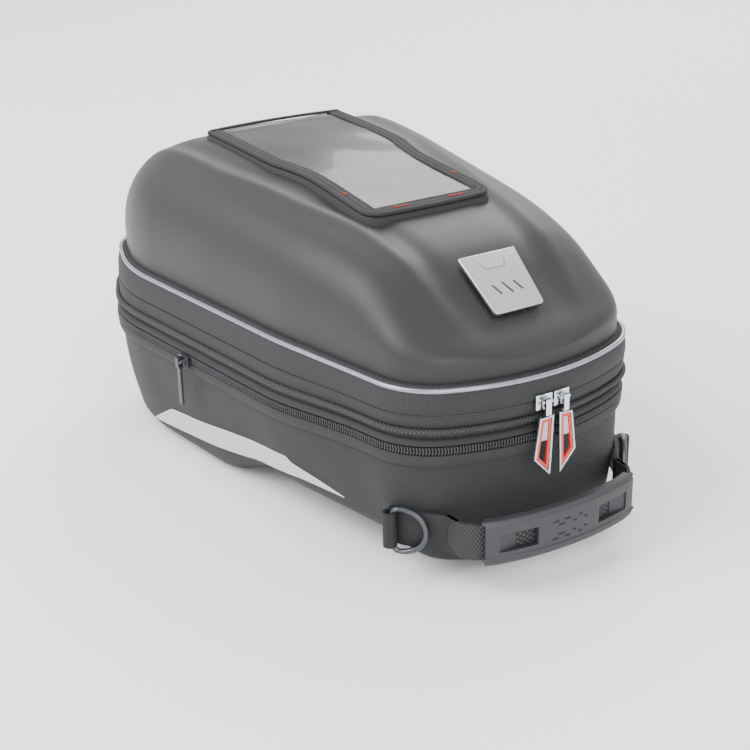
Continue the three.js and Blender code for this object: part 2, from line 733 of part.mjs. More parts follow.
// The face plate of a slider with the bar that carries its pull, held off the face by two legs.
function sliderSolid(length, height, barReach) {
  const shape = polygon([
    [-length / 2, -height / 2],
    [length / 2, -height / 2],
    [length / 2, height / 2],
    [-length / 2, height / 2],
  ]);
  const face = solid(stand(plate(shape, 2.2)), at(0, -1.5, 0));
  const legLength = barReach - 2.5;
  const legMiddle = -2.5 - legLength / 2;
  const legs = [-1, 1].map((s) => box(barSize, legLength, barSize, s * 2.9, legMiddle, barRise));
  const bar = box(7.3, barSize, barSize, 0, -barReach, barRise);
  return [...legs, bar].reduce((s, part) => s.add(part), face);
}

// The link that hangs on a slider's bar: a loop over the bar and a solid block below it.
function linkSolid(halfWidth, barReach, low) {
  const top = barRise + 1.8;
  const loop = box(2 * halfWidth, 3.6, top - low, 0, -barReach, (top + low) / 2);
  const eye = box(2 * halfWidth + 2, 2.2, 4.6, 0, -barReach, barRise + 1.1 - 2.3);
  return loop.subtract(eye);
}

const linkLow = -7;

// Outline of a blade-shaped pull below its link, for the slider on the given side (-1 left, 1 right).
function bladePoints(side) {
  const points = [
    [0, 0],
    [-9.6, -1],
    [-pullWidth, -pullLength * 0.68],
    [-1.6, -pullLength],
  ];
  const placed = points.map(([x, y]) => [-side * (x + 4.4), y]);
  return side < 0 ? placed : placed.reverse();
}

function buildMainSlider(name, side) {
  const frame = riderFrame(sliderMeet + side * (sliderLength / 2 + 0.6));
  addPiece(`slider_${name}`, geometryOf(sliderSolid(sliderLength, 9.2, barReach)), chrome).applyMatrix4(frame);
  addPiece(`pull_link_${name}`, geometryOf(linkSolid(1.8, barReach, linkLow)), chrome).applyMatrix4(frame);
  const blade = bladePoints(side);
  const hang = frame.clone().multiply(at(0, -barReach + 1.2, linkLow - gap));
  const body = polygon(blade);
  body.holes.push(polygon(insetPolygon(blade, pullRim)));
  addPiece(`pull_frame_${name}`, stand(plate(body, 2.4)), satinMetal).applyMatrix4(hang);
  const rim = polygon(insetPolygon(blade, pullRim + gap));
  const rimHole = insetPolygon(blade, pullInlay);
  rim.holes.push(polygon(rimHole));
  addPiece(`pull_rim_${name}`, stand(plate(rim, 2)), redEnamel).applyMatrix4(hang);
  const clip = box(2 * pullLength, 10, pullLength, 0, 0, pullLength * 0.1);
  const inlay = solid(stand(plate(polygon(insetPolygon(blade, pullInlay + gap)), 1.6))).intersect(clip);
  addPiece(`pull_inlay_${name}`, geometryOf(inlay), greyInlay).applyMatrix4(hang);
}

function buildExpansionSlider() {
  const [start, end] = [outlineCorners[3], outlineCorners[2]];
  const share = (start.y - expansionSliderY) / (start.y - end.y);
  const x = THREE.MathUtils.lerp(start.x, end.x, share);
  const point = new THREE.Vector2(-x, expansionSliderY);
  const along = new THREE.Vector2(start.x - end.x, end.y - start.y).normalize();
  const frame = sideFrame(point, new THREE.Vector2(along.y, -along.x), lowerTapeTop);
  frame.multiply(at(0, -1.2 - leanAt(sideLean, lowerTapeTop), 0));
  const slider = geometryOf(sliderSolid(10, 7, barReach));
  addPiece("expansion_slider", slider, darkMetal).applyMatrix4(frame);
  const link = linkSolid(1.8, barReach, -4).add(box(3.4, 1.6, 26, 0, -barReach, -16.5));
  addPiece("expansion_pull", geometryOf(link), darkMetal).applyMatrix4(frame);
}

// ---- handle and D-rings -------------------------------------------------------------------------
// Turns a curve in plan into stations with outward normals, as openBand needs them.
function curveStations(points, count) {
  const curve = new THREE.CatmullRomCurve3(points.map(([x, y]) => new THREE.Vector3(x, y, 0)));
  const stations = [];
  for (let i = 0; i <= count; i++) {
    const p = curve.getPointAt(i / count);
    const t = curve.getTangentAt(i / count);
    stations.push({ point: new THREE.Vector2(p.x, p.y), normal: new THREE.Vector2(t.y, -t.x) });
  }
  return stations;
}

const mirrored = (points) => [...points, ...points.slice(0, -1).reverse().map(([x, y]) => [-x, y])];
const handlePath = mirrored([
  [-62, 12.2],
  [-61.6, 6],
  [-60.5, -1],
  [-52, -9.5],
  [-28, -15.6],
  [0, -17.6],
]);

const strapSection = (thickness, height) =>
  rectangleSection(-thickness / 2, thickness, handleLevel - height / 2, handleLevel + height / 2);

// A disc right across the bag about the line that the handle swings on.
const hingeDisc = (radius) =>
  cylinder(radius, bagLength, 0, 0, 0, 32).rotate([0, 90, 0]).translate([0, hingeY, handleLevel]);

function buildHandle() {
  const stations = curveStations(handlePath, 24);
  const strap = solid(openBand(stations, strapSection(webbingThickness, webbingWidth)));
  const free = box(bagLength, 40, 40, 0, hingeY - 20, handleLevel);
  addPiece("handle_strap", geometryOf(strap.intersect(free.add(hingeDisc(tongueRadius)))), webbing);
  const gripStations = stations.filter(({ point }) => Math.abs(point.x) < gripHalfLength);
  const [low, high] = [handleLevel - gripHeight / 2, handleLevel + gripHeight / 2];
  const section = [
    [3.2, low + 1.5],
    [1.6, low],
    [-gripThickness + 4, low],
    [-gripThickness + 3, low + 2],
    [-gripThickness + 3, high - 2.5],
    [-gripThickness + 4.5, high],
    [1.6, high],
    [3.2, high - 1.5],
  ];
  const block = solid(openBand(gripStations, section));
  const channel = solid(openBand(stations, strapSection(webbingThickness + 2 * gap, webbingWidth + 2 * gap)));
  const windows = [-1, 1].map((s) => box(24, 12, 11, s * 34, -22, handleLevel));
  const grip = windows.reduce((g, cut) => g.subtract(cut), block.subtract(channel));
  addPiece("handle_grip", geometryOf(grip), rubber);
}

// A D-ring: its straight bar stands upright at its own origin and the loop reaches along +X.
function ringGeometry(wire) {
  const half = ringHeight / 2 - ringWire;
  const reach = ringDepth - 2 * ringWire;
  const arcSteps = 9;
  const path = [];
  for (let i = 0; i <= arcSteps; i++) {
    const angle = Math.PI * (i / arcSteps - 0.5);
    path.push(new THREE.Vector3(reach * Math.cos(angle) ** 0.7 || 0, 0, half * Math.sin(angle)));
  }
  const sides = 7;
  const across = new THREE.Vector3(0, 1, 0);
  const rings = path.map((here, i) => {
    const tangent = path[(i + 1) % path.length].clone().sub(path.at(i - 1)).normalize();
    const outward = new THREE.Vector3().crossVectors(across, tangent);
    return Array.from({ length: sides }, (_, k) => {
      const angle = (2 * Math.PI * k) / sides;
      const rim = outward.clone().multiplyScalar(wire * Math.cos(angle));
      return here.clone().add(rim).addScaledVector(across, wire * Math.sin(angle));
    });
  });
  return loft(rings, true);
}

// A place on the rounded rider's corner: the direction is in degrees from +X.
const cornerCentre = outline.find(({ corner }) => corner === 1).centre;
function onCorner(direction, radius) {
  const angle = THREE.MathUtils.degToRad(direction);
  return [cornerCentre.x + radius * Math.cos(angle), cornerCentre.y + radius * Math.sin(angle)];
}

// The sewn webbing follows the corner, then turns out to meet the free handle.
const anchorRadius = riderCornerRadius - 1;
const anchorPath = [...[-20, -33, -46].map((a) => onCorner(a, anchorRadius)), [62.2, 10.5], [61.5, 4], [60.6, -1.2]];
const ringRadius = Math.hypot(anchorRadius + 4, (ringDepth - 2 * ringWire) / 2);
const ringBar = onCorner(-25, ringRadius);
const ringTip = onCorner(-54, ringRadius);

function buildAnchors() {
  [-1, 1].forEach((side) => {
    const name = side < 0 ? "left" : "right";
    const path = anchorPath.map(([x, y]) => [side * x, y]);
    const stations = curveStations(side < 0 ? path : path.reverse(), 10);
    const strip = solid(openBand(stations, strapSection(webbingThickness + 0.8, webbingWidth)));
    const notched = strip.subtract(hingeDisc(tongueRadius + gap));
    const [barX, barY] = [side * ringBar[0], ringBar[1]];
    const eye = cylinder(ringWire + gap + 1.8, webbingWidth, barX, barY, handleLevel, 16);
    const bore = cylinder(ringWire + gap, 2 * webbingWidth, barX, barY, handleLevel, 16);
    addPiece(`strap_anchor_${name}`, geometryOf(notched.add(eye).subtract(bore)), webbing);
    const turn = Math.atan2(ringTip[1] - ringBar[1], side * (ringTip[0] - ringBar[0]));
    const ring = addPiece(`d_ring_${name}`, ringGeometry(ringWire), darkMetal);
    ring.position.set(barX, barY, handleLevel);
    ring.rotation.z = turn;
  });
}

buildTub();
buildBaseBoard();
buildLock();
buildBands();
buildShell();
buildPocket();
buildBadge();
buildMainSlider("left", -1);
buildMainSlider("right", 1);
buildExpansionSlider();
buildHandle();
buildAnchors();

// The origin is the middle of the footprint, on the surface that the bag stands on.
tankBag.updateMatrixWorld(true);
const bounds = new THREE.Box3().setFromObject(tankBag);
const middle = bounds.getCenter(new THREE.Vector3());
tankBag.position.set(-middle.x, -middle.y, -bounds.min.z);

export default tankBag;
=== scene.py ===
"""Looks of a motorcycle tank bag: fabric tub, expansion collar, domed lid, pocket, zips, handle and rings."""

import logging
import math
from dataclasses import dataclass, field
from enum import Enum
from typing import Callable, Optional, Sequence

import bpy
from mathutils import Matrix, Vector


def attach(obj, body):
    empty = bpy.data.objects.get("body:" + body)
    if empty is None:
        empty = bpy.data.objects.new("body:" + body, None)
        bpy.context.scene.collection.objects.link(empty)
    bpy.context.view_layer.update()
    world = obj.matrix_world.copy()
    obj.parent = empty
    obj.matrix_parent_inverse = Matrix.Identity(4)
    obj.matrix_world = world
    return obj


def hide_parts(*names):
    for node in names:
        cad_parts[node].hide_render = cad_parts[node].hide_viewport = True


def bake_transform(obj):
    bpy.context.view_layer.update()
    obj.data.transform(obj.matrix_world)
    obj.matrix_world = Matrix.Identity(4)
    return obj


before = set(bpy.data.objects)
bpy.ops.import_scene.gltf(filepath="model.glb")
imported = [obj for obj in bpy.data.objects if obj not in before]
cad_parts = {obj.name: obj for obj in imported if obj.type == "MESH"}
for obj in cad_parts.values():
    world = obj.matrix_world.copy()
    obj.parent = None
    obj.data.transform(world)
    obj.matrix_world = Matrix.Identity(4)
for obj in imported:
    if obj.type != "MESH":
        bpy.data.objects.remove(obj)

LOG = logging.getLogger("tank_bag")
MM = 0.001
SHIFT = (0.454, -182.141)  # from the drawing's own frame to the row frame, mm
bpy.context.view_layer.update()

Place = Callable[[float, float], Vector]
Section = Sequence[tuple[float, float]]


# ---- small tools --------------------------------------------------------------------------------


def row(x: float, y: float, z: float) -> Vector:
    """A point of the row frame in metres, from the drawing's millimetres."""
    return Vector(((x + SHIFT[0]) * MM, (y + SHIFT[1]) * MM, z * MM))


def linear(value: str) -> tuple[float, float, float, float]:
    """Turns an sRGB hex colour to linear.

    Args:
        value: The colour as "#rrggbb".

    Returns:
        Its linear red, green, blue and an alpha of one.
    """
    parts = [int(value[i : i + 2], 16) / 255 for i in (1, 3, 5)]
    red, green, blue = (c / 12.92 if c <= 0.04045 else ((c + 0.055) / 1.055) ** 2.4 for c in parts)
    return red, green, blue, 1.0


def table_at(table: Section, where: float) -> float:
    """Straight-line value of a table of pairs, held level past its ends."""
    if where <= table[0][0]:
        return table[0][1]
    for (x0, y0), (x1, y1) in zip(table, table[1:]):
        if where <= x1:
            return y0 + (y1 - y0) * (where - x0) / (x1 - x0)
    return table[-1][1]


def smooth_step(value: float, start: float, end: float) -> float:
    """Rises smoothly from 0 at start to 1 at end."""
    t = min(1.0, max(0.0, (value - start) / (end - start)))
    return t * t * (3 - 2 * t)


def smooth_through(points: Sequence[Vector], steps: int) -> list[Vector]:
    """Points on a smooth curve that passes through the given ones, with the last of them at its end."""
    ends = [2 * points[0] - points[1], *points, 2 * points[-1] - points[-2]]
    dense = []
    for a, b, c, d in zip(ends, ends[1:], ends[2:], ends[3:]):
        for k in range(steps):
            t = k / steps
            square, cube = 2 * a - 5 * b + 4 * c - d, 3 * b - a - 3 * c + d
            dense.append(0.5 * ((2 * b) + (c - a) * t + square * t * t + cube * t**3))
    return [*dense, ends[-2]]


def smooth_table(table: Section, steps: int = 16) -> list[tuple[float, float]]:
    """A smooth curve through a table's pairs, as a denser table."""
    return [(p.x, p.y) for p in smooth_through([Vector(pair) for pair in table], steps)]


def deselect() -> None:
    """Leaves object mode as the mode and nothing selected."""
    if bpy.context.mode != "OBJECT":
        bpy.ops.object.mode_set(mode="OBJECT")
    bpy.ops.object.select_all(action="DESELECT")


def activate(piece: bpy.types.Object) -> None:
    """Makes one piece the only selected and active one."""
    deselect()
    piece.select_set(True)
    bpy.context.view_layer.objects.active = piece


def apply_modifier(piece: bpy.types.Object, kind: str, **settings: object) -> None:
    """Adds a modifier with its settings and applies it.

    Args:
        piece: The mesh object.
        kind: The modifier's type.
        settings: Its properties.
    """
    activate(piece)
    modifier = piece.modifiers.new(kind.title(), kind)
    for key, value in settings.items():
        setattr(modifier, key, value)
    bpy.ops.object.modifier_apply(modifier=modifier.name)


def settle(piece: bpy.types.Object, angle: Optional[float] = None) -> bpy.types.Object:
    """Applies a piece's place and gives it smooth shading, by angle when one is given in degrees."""
    activate(piece)
    bpy.ops.object.transform_apply(location=True, rotation=True, scale=True)
    if angle is None:
        bpy.ops.object.shade_smooth()
    else:
        bpy.ops.object.shade_smooth_by_angle(angle=math.radians(angle))
    return piece


def skin(
    name: str, columns: int, rows: int, place: Place, size: tuple[float, float]
) -> bpy.types.Object:
    """Makes a sheet from a grid whose points are moved to their places.

    Args:
        name: The piece's name.
        columns: Faces along the first direction.
        rows: Faces along the second direction.
        place: Gives a point from its two shares, 0 to 1.
        size: Length and height that the UV map gives it, in metres.

    Returns:
        The new mesh object, with a UV map in metres and the points that meet joined.
    """
    deselect()
    bpy.ops.mesh.primitive_grid_add(x_subdivisions=columns, y_subdivisions=rows, size=1)
    piece = bpy.context.active_object
    piece.name = name
    for vertex in piece.data.vertices:
        vertex.co = place(vertex.co.x + 0.5, vertex.co.y + 0.5)
    for item in piece.data.uv_layers.active.data:
        item.uv = (item.uv[0] * size[0], item.uv[1] * size[1])
    bpy.ops.object.mode_set(mode="EDIT")
    bpy.ops.mesh.select_all(action="SELECT")
    bpy.ops.mesh.remove_doubles(threshold=2e-6)
    bpy.ops.object.mode_set(mode="OBJECT")
    return settle(piece)


def turn_outward(piece: bpy.types.Object) -> None:
    """Turns every face of a piece outwards."""
    activate(piece)
    bpy.ops.object.mode_set(mode="EDIT")
    bpy.ops.mesh.select_all(action="SELECT")
    bpy.ops.mesh.normals_make_consistent(inside=False)
    bpy.ops.object.mode_set(mode="OBJECT")


def close_up(piece: bpy.types.Object) -> None:
    """Fills a swept piece's open ends and turns its faces outwards."""
    activate(piece)
    bpy.ops.object.mode_set(mode="EDIT")
    bpy.ops.mesh.select_all(action="DESELECT")
    bpy.ops.mesh.select_mode(type="VERT")
    bpy.ops.mesh.select_non_manifold(extend=False)
    bpy.ops.mesh.edge_face_add()
    bpy.ops.object.mode_set(mode="OBJECT")
    turn_outward(piece)


def sweep(
    name: str, path: Sequence[tuple[Vector, Vector]], section: Section, closed: bool, angle: float = 40
) -> bpy.types.Object:
    """Carries a closed section along a path that lies level.

    Args:
        name: The piece's name.
        path: Points in millimetres, each with its outward direction; a point's z lifts the section.
        section: Corners as distance outwards and height, in millimetres.
        closed: Whether the path comes back to its start.
        angle: Edges sharper than this stay sharp, in degrees.

    Returns:
        The new closed mesh object.
    """
    count, corners = len(path), len(section)
    columns = count if closed else count - 1

    def place(u: float, v: float) -> Vector:
        """Point of the section v at the path's place u."""
        point, out = path[round(u * columns) % count]
        reach, height = section[round(v * corners) % corners]
        return row(point.x + out.x * reach, point.y + out.y * reach, point.z + height)

    length = sum((path[i][0] - path[i - 1][0]).length for i in range(1, count)) * MM
    girth = sum(math.dist(section[i], section[i - 1]) for i in range(corners)) * MM
    piece = skin(name, columns, corners, place, (length, girth))
    if closed:
        turn_outward(piece)
    else:
        close_up(piece)
    return settle(piece, angle)


def curve_path(points: Sequence[tuple[float, float]], steps: int) -> list[tuple[Vector, Vector]]:
    """A smooth level path through points, each place with its direction to the right of travel."""
    dense = smooth_through([Vector((x, y, 0)) for x, y in points], steps)
    path = []
    for i, p in enumerate(dense):
        along = (dense[min(i + 1, len(dense) - 1)] - dense[max(i - 1, 0)]).normalized()
        path.append((p, Vector((along.y, -along.x, 0))))
    return path


def cord_section(out: float, height: float, radius: float, sides: int = 14) -> list[tuple[float, float]]:
    """The section of a round cord."""
    turns = [2 * math.pi * i / sides for i in range(sides)]
    return [(out + radius * math.cos(a), height + radius * math.sin(a)) for a in turns]


def copy_node(name: str, node: str, bevel: float, segments: int = 2, angle: float = 30) -> bpy.types.Object:
    """A finer copy of a CAD piece, with its edges rounded.

    Args:
        name: The new piece's name.
        node: The CAD node that it stands for.
        bevel: Width of the rounding in millimetres.
        segments: Facets across each rounding.
        angle: Edges sharper than this are rounded and stay crisp, in degrees.

    Returns:
        The new mesh object, at the CAD piece's place.
    """
    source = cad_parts[node]
    piece = source.copy()
    piece.data = source.data.copy()
    piece.name = name
    piece.parent = None
    piece.matrix_world = source.matrix_world.copy()
    for key in list(piece.keys()):
        del piece[key]
    bpy.context.scene.collection.objects.link(piece)
    piece.data.materials.clear()
    activate(piece)
    bpy.ops.object.mode_set(mode="EDIT")
    bpy.ops.mesh.select_all(action="SELECT")
    bpy.ops.mesh.remove_doubles(threshold=1e-5)
    bpy.ops.mesh.dissolve_limited(angle_limit=math.radians(1))
    bpy.ops.object.mode_set(mode="OBJECT")
    if bevel:
        apply_modifier(
            piece,
            "BEVEL",
            width=bevel * MM,
            segments=segments,
            limit_method="ANGLE",
            angle_limit=math.radians(angle),
        )
    return settle(piece, angle)


def dress(
    piece: bpy.types.Object, finish: "Finish", slot: str, body: str, replaces: Sequence[str] = ()
) -> bpy.types.Object:
    """Gives a piece its finish, its body and the CAD nodes it stands for.

    Args:
        piece: The finished mesh object.
        finish: The finish it wears.
        slot: The record's material slot; not used.
        body: The CAD body that it rides on.
        replaces: CAD nodes that it stands for.

    Returns:
        The same piece.
    """
    piece.data.materials.clear()
    piece.data.materials.append(finish.material())
    if body:
        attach(piece, body)
    if replaces:
        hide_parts(*replaces)
    LOG.info("%s: %d faces", piece.name, len(piece.data.polygons))
    return piece


def dress_node(node: str, finish: "Finish") -> None:
    """Gives a CAD piece that stays in view its finish."""
    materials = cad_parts[node].data.materials
    materials.clear()
    materials.append(finish.material())


# ---- finishes -----------------------------------------------------------------------------------


def add_node(
    tree: bpy.types.NodeTree, kind: str, settings: Optional[dict] = None, inputs: Optional[dict] = None
) -> bpy.types.Node:
    """Adds a node with its settings and links.

    Args:
        tree: The node tree.
        kind: The node's type.
        settings: Properties to set on it.
        inputs: Socket names with a value, or with an output socket to link.

    Returns:
        The new node.
    """
    node = tree.nodes.new(kind)
    for key, value in (settings or {}).items():
        setattr(node, key, value)
    for key, value in (inputs or {}).items():
        socket = node.inputs[key]
        if isinstance(value, bpy.types.NodeSocket):
            tree.links.new(value, socket)
        else:
            socket.default_value = value
    return node


WAVE_LENGTH = 0.31416  # length of one band of a wave texture at scale 1


class Pattern(Enum):
    """What the surface shows close up."""

    GRAIN = "fine random grain"
    WEAVE = "crossed threads, on the piece's own UV map"
    RIBS = "threads in one direction, on the piece's own UV map"
    BRUSHED = "fine lines from brushing"


@dataclass(frozen=True)
class Finish:
    """One finish: what the material is, its colours, its gloss and its pattern."""

    name: str
    colour: str
    second: str
    roughness: float
    pattern: Pattern = Pattern.GRAIN
    pitch: float = 1.0  # mm
    turn: float = 0.0  # degrees
    depth: float = 0.1  # mm
    strength: float = 0.5
    metallic: float = 0.0
    sheen: float = 0.0
    coat: float = 0.0
    coat_roughness: float = 0.1
    alpha: float = 1.0
    cloud: float = 0.25  # how much slow, large variation the colour shows

    def height(self, tree: bpy.types.NodeTree) -> bpy.types.NodeSocket:
        """Builds the pattern's height, 0 to 1.

        Args:
            tree: The material's node tree.

        Returns:
            The socket that carries it.
        """
        where = add_node(tree, "ShaderNodeTexCoord")
        if self.pattern in (Pattern.WEAVE, Pattern.RIBS):
            lines = []
            turns = (self.turn,) if self.pattern is Pattern.RIBS else (self.turn, self.turn + 90)
            for turn in turns:
                mapping = add_node(
                    tree,
                    "ShaderNodeMapping",
                    inputs={"Vector": where.outputs["UV"], "Rotation": (0, 0, math.radians(turn))},
                )
                wave = add_node(
                    tree,
                    "ShaderNodeTexWave",
                    {"wave_type": "BANDS", "bands_direction": "X"},
                    {
                        "Vector": mapping.outputs["Vector"],
                        "Scale": WAVE_LENGTH / (self.pitch * MM),
                        "Distortion": 0.6,
                        "Detail": 1.0,
                        "Detail Scale": 1.5,
                    },
                )
                lines.append(wave.outputs["Fac"])
            if self.pattern is Pattern.RIBS:
                return lines[0]
            both = add_node(tree, "ShaderNodeMath", {"operation": "MULTIPLY"}, {0: lines[0], 1: lines[1]})
            return both.outputs["Value"]
        stretch = (1, 1, 1) if self.pattern is Pattern.GRAIN else (0.06, 1, 1)
        mapping = add_node(
            tree, "ShaderNodeMapping", inputs={"Vector": where.outputs["Object"], "Scale": stretch}
        )
        noise = add_node(
            tree,
            "ShaderNodeTexNoise",
            inputs={
                "Vector": mapping.outputs["Vector"],
                "Scale": 1 / (self.pitch * MM),
                "Detail": 3.0,
                "Roughness": 0.6,
            },
        )
        return noise.outputs["Fac"]

    def material(self) -> bpy.types.Material:
        """Returns the finish's node material, made once."""
        found = bpy.data.materials.get(self.name)
        if found:
            return found
        material = bpy.data.materials.new(self.name)
        material.use_nodes = True
        tree = material.node_tree
        shader = tree.nodes["Principled BSDF"]
        height = self.height(tree)
        where = add_node(tree, "ShaderNodeTexCoord")
        cloud = add_node(
            tree,
            "ShaderNodeTexNoise",
            inputs={"Vector": where.outputs["Object"], "Scale": 28.0, "Detail": 4.0},
        )
        mixed = add_node(
            tree,
            "ShaderNodeMath",
            {"operation": "MULTIPLY_ADD"},
            {0: cloud.outputs["Fac"], 1: self.cloud, 2: height},
        )
        ramp = add_node(
            tree,
            "ShaderNodeMapRange",
            inputs={"Value": mixed.outputs["Value"], "From Min": 0.1, "From Max": 1.0 + self.cloud * 0.6},
        )
        colour = add_node(
            tree,
            "ShaderNodeMix",
            {"data_type": "RGBA"},
            {"Factor": ramp.outputs["Result"], "A": linear(self.second), "B": linear(self.colour)},
        )
        tree.links.new(colour.outputs["Result"], shader.inputs["Base Color"])
        rough = add_node(
            tree,
            "ShaderNodeMapRange",
            inputs={
                "Value": cloud.outputs["Fac"],
                "To Min": self.roughness * 0.88,
                "To Max": min(1.0, self.roughness * 1.12),
            },
        )
        tree.links.new(rough.outputs["Result"], shader.inputs["Roughness"])
        bump = add_node(
            tree,
            "ShaderNodeBump",
            inputs={"Height": height, "Strength": self.strength, "Distance": self.depth * MM},
        )
        tree.links.new(bump.outputs["Normal"], shader.inputs["Normal"])
        shader.inputs["Metallic"].default_value = self.metallic
        shader.inputs["Sheen Weight"].default_value = self.sheen
        shader.inputs["Coat Weight"].default_value = self.coat
        shader.inputs["Coat Roughness"].default_value = self.coat_roughness
        shader.inputs["Alpha"].default_value = self.alpha
        return material


# Ballistic polyester, woven and coated: matt black with a faint diagonal of threads that catch the light.
# Its threads are about 0.6 mm apart, drawn 1.5 mm apart so that they show.
BALLISTIC = Finish(
    "ballistic_polyester_woven", "#303133", "#161718", 0.72, Pattern.WEAVE, 1.5, 45, 0.25, 0.7, sheen=0.02,
)
# The same cloth on the bands, where the ribs of the zip's tape run up and down.
BAND_CLOTH = Finish(
    "polyester_band_ribbed", "#292a2c", "#18191a", 0.75, Pattern.RIBS, 1.3, 0, 0.2, 0.5, sheen=0.02,
)
# Polyester zip tape, woven: darker and flatter than the body.
TAPE = Finish("polyester_zip_tape_woven", "#2a2b2d", "#161718", 0.78, Pattern.RIBS, 1.0, 20, 0.15, 0.4)
# EVA foam shell, thermoformed with a bonded matt knit: soft wide highlights over a very fine grain.
EVA = Finish(
    "eva_foam_shell_thermoformed", "#1c1d1f", "#18191b", 0.5,
    Pattern.GRAIN, 0.45, 0, 0.05, 0.35, sheen=0.04, cloud=0.1,
)
# Nylon coil, extruded: small glints painted into a mid grey that is lighter than the same nylon in COIL_FINE;
# the darker speckle between them is the nylon's own dark.
COIL = Finish("nylon_coil_painted_glint", "#3e3f42", "#1b1c1e", 0.32, Pattern.GRAIN, 0.6, 0, 0.05, 0.2)
COIL_FINE = Finish("nylon_coil_fine_extruded", "#1c1c1e", "#0e0e10", 0.45, Pattern.GRAIN, 0.6, 0, 0.05, 0.2)
# Polyester webbing, woven in a coarse plain weave that shows as small bright knots: the weave is real, the
# bright knots are painted highlight and the near-black between them is painted shade.
WEBBING = Finish("polyester_webbing_painted_knot_highlights", "#4a4b4d", "#0e0e10", 0.7, Pattern.WEAVE, 1.7, 40, 0.5, 0.9)
# Piping in metallised vinyl, extruded: a bright satin line.
PIPING = Finish(
    "metallised_vinyl_piping", "#a9acb2", "#7d8087", 0.24, Pattern.GRAIN, 3.0, 0, 0.05, 0.2, metallic=0.75,
)
# Moulded rubber, satin, with a fine spark-eroded grain.
RUBBER = Finish(
    "rubber_moulded_satin", "#323336", "#26272a", 0.5, Pattern.GRAIN, 0.5, 0, 0.08, 0.4, cloud=0.2,
)
# The same moulded rubber made far darker for the grip's bars: painted shade, as if they were grooves in
# shadow.
RUBBER_PAINTED_SHADE = Finish("rubber_painted_recess_shade", "#17181a", "#0d0d0f", 0.7, Pattern.GRAIN, 0.6)
# Zinc alloy, cast and satin plated.
SATIN = Finish(
    "zinc_alloy_satin_plated", "#d9dbdf", "#b4b7bc", 0.27, Pattern.BRUSHED, 0.4, 0, 0.02, 0.35, metallic=1.0,
)
# Zinc alloy, cast and chromed.
CHROME = Finish(
    "zinc_alloy_chromed", "#e8eaee", "#c8cbd0", 0.12, Pattern.GRAIN, 4.0, 0, 0.02, 0.2, metallic=1.0,
)
# Zinc alloy, cast, with gunmetal plating.
GUNMETAL = Finish(
    "zinc_alloy_gunmetal_plated", "#5a5c5f", "#434548", 0.33, Pattern.GRAIN, 1.5, 0, 0.03, 0.3, metallic=0.85,
)
# Zinc-plated steel, stamped.
STEEL = Finish(
    "steel_zinc_plated", "#b9bbbd", "#8f9194", 0.38, Pattern.BRUSHED, 0.6, 0, 0.03, 0.4, metallic=1.0,
)
# Soft PVC in red, moulded into the pull.
RED = Finish("pvc_red_moulded", "#e8362a", "#c9251b", 0.4, Pattern.GRAIN, 1.5, 0, 0.03, 0.2, coat=0.2)
# Hard plastic inlay in silver grey, moulded.
INLAY = Finish("abs_silver_grey_moulded", "#b9bbbd", "#9c9ea0", 0.38, Pattern.GRAIN, 1.0, 0, 0.03, 0.2)
# TPU film, cast: clear, slightly smoked and very glossy.
FILM = Finish(
    "tpu_film_cast", "#060607", "#040405", 0.2,
    Pattern.GRAIN, 60.0, 0, 0.4, 0.25, coat=0.25, coat_roughness=0.05, alpha=0.6,
)
# Lining cloth under the film, knitted.
LINING = Finish("polyester_lining_knitted", "#1c1c1e", "#0d0d0f", 0.8, Pattern.WEAVE, 1.6, 0, 0.2, 0.6)
# Nylon 6, moulded: the lock unit.
NYLON_MOULDED = Finish("nylon_moulded_black", "#2b2c2e", "#1d1e20", 0.42, Pattern.GRAIN, 0.8, 0, 0.06, 0.4)
# Polyethylene board, extruded.
BOARD = Finish("polyethylene_board_extruded", "#26272a", "#1b1c1e", 0.5, Pattern.GRAIN, 1.5, 0, 0.05, 0.3)
# Reflective transfer with glass beads, pressed on: pale grey and nearly flat.
REFLECTIVE = Finish(
    "glass_bead_transfer", "#c9cbce", "#b3b5b9", 0.55, Pattern.GRAIN, 0.5, 0, 0.02, 0.2, cloud=0.1,
)
# Bonded polyester thread.
THREAD_RED = Finish("bonded_thread_red", "#c22a20", "#8f1c15", 0.6, Pattern.GRAIN, 0.4)
THREAD_DARK = Finish("bonded_thread_black", "#1a1a1c", "#101012", 0.6, Pattern.GRAIN, 0.4)


# ---- shapes shared by the sub-assemblies --------------------------------------------------------


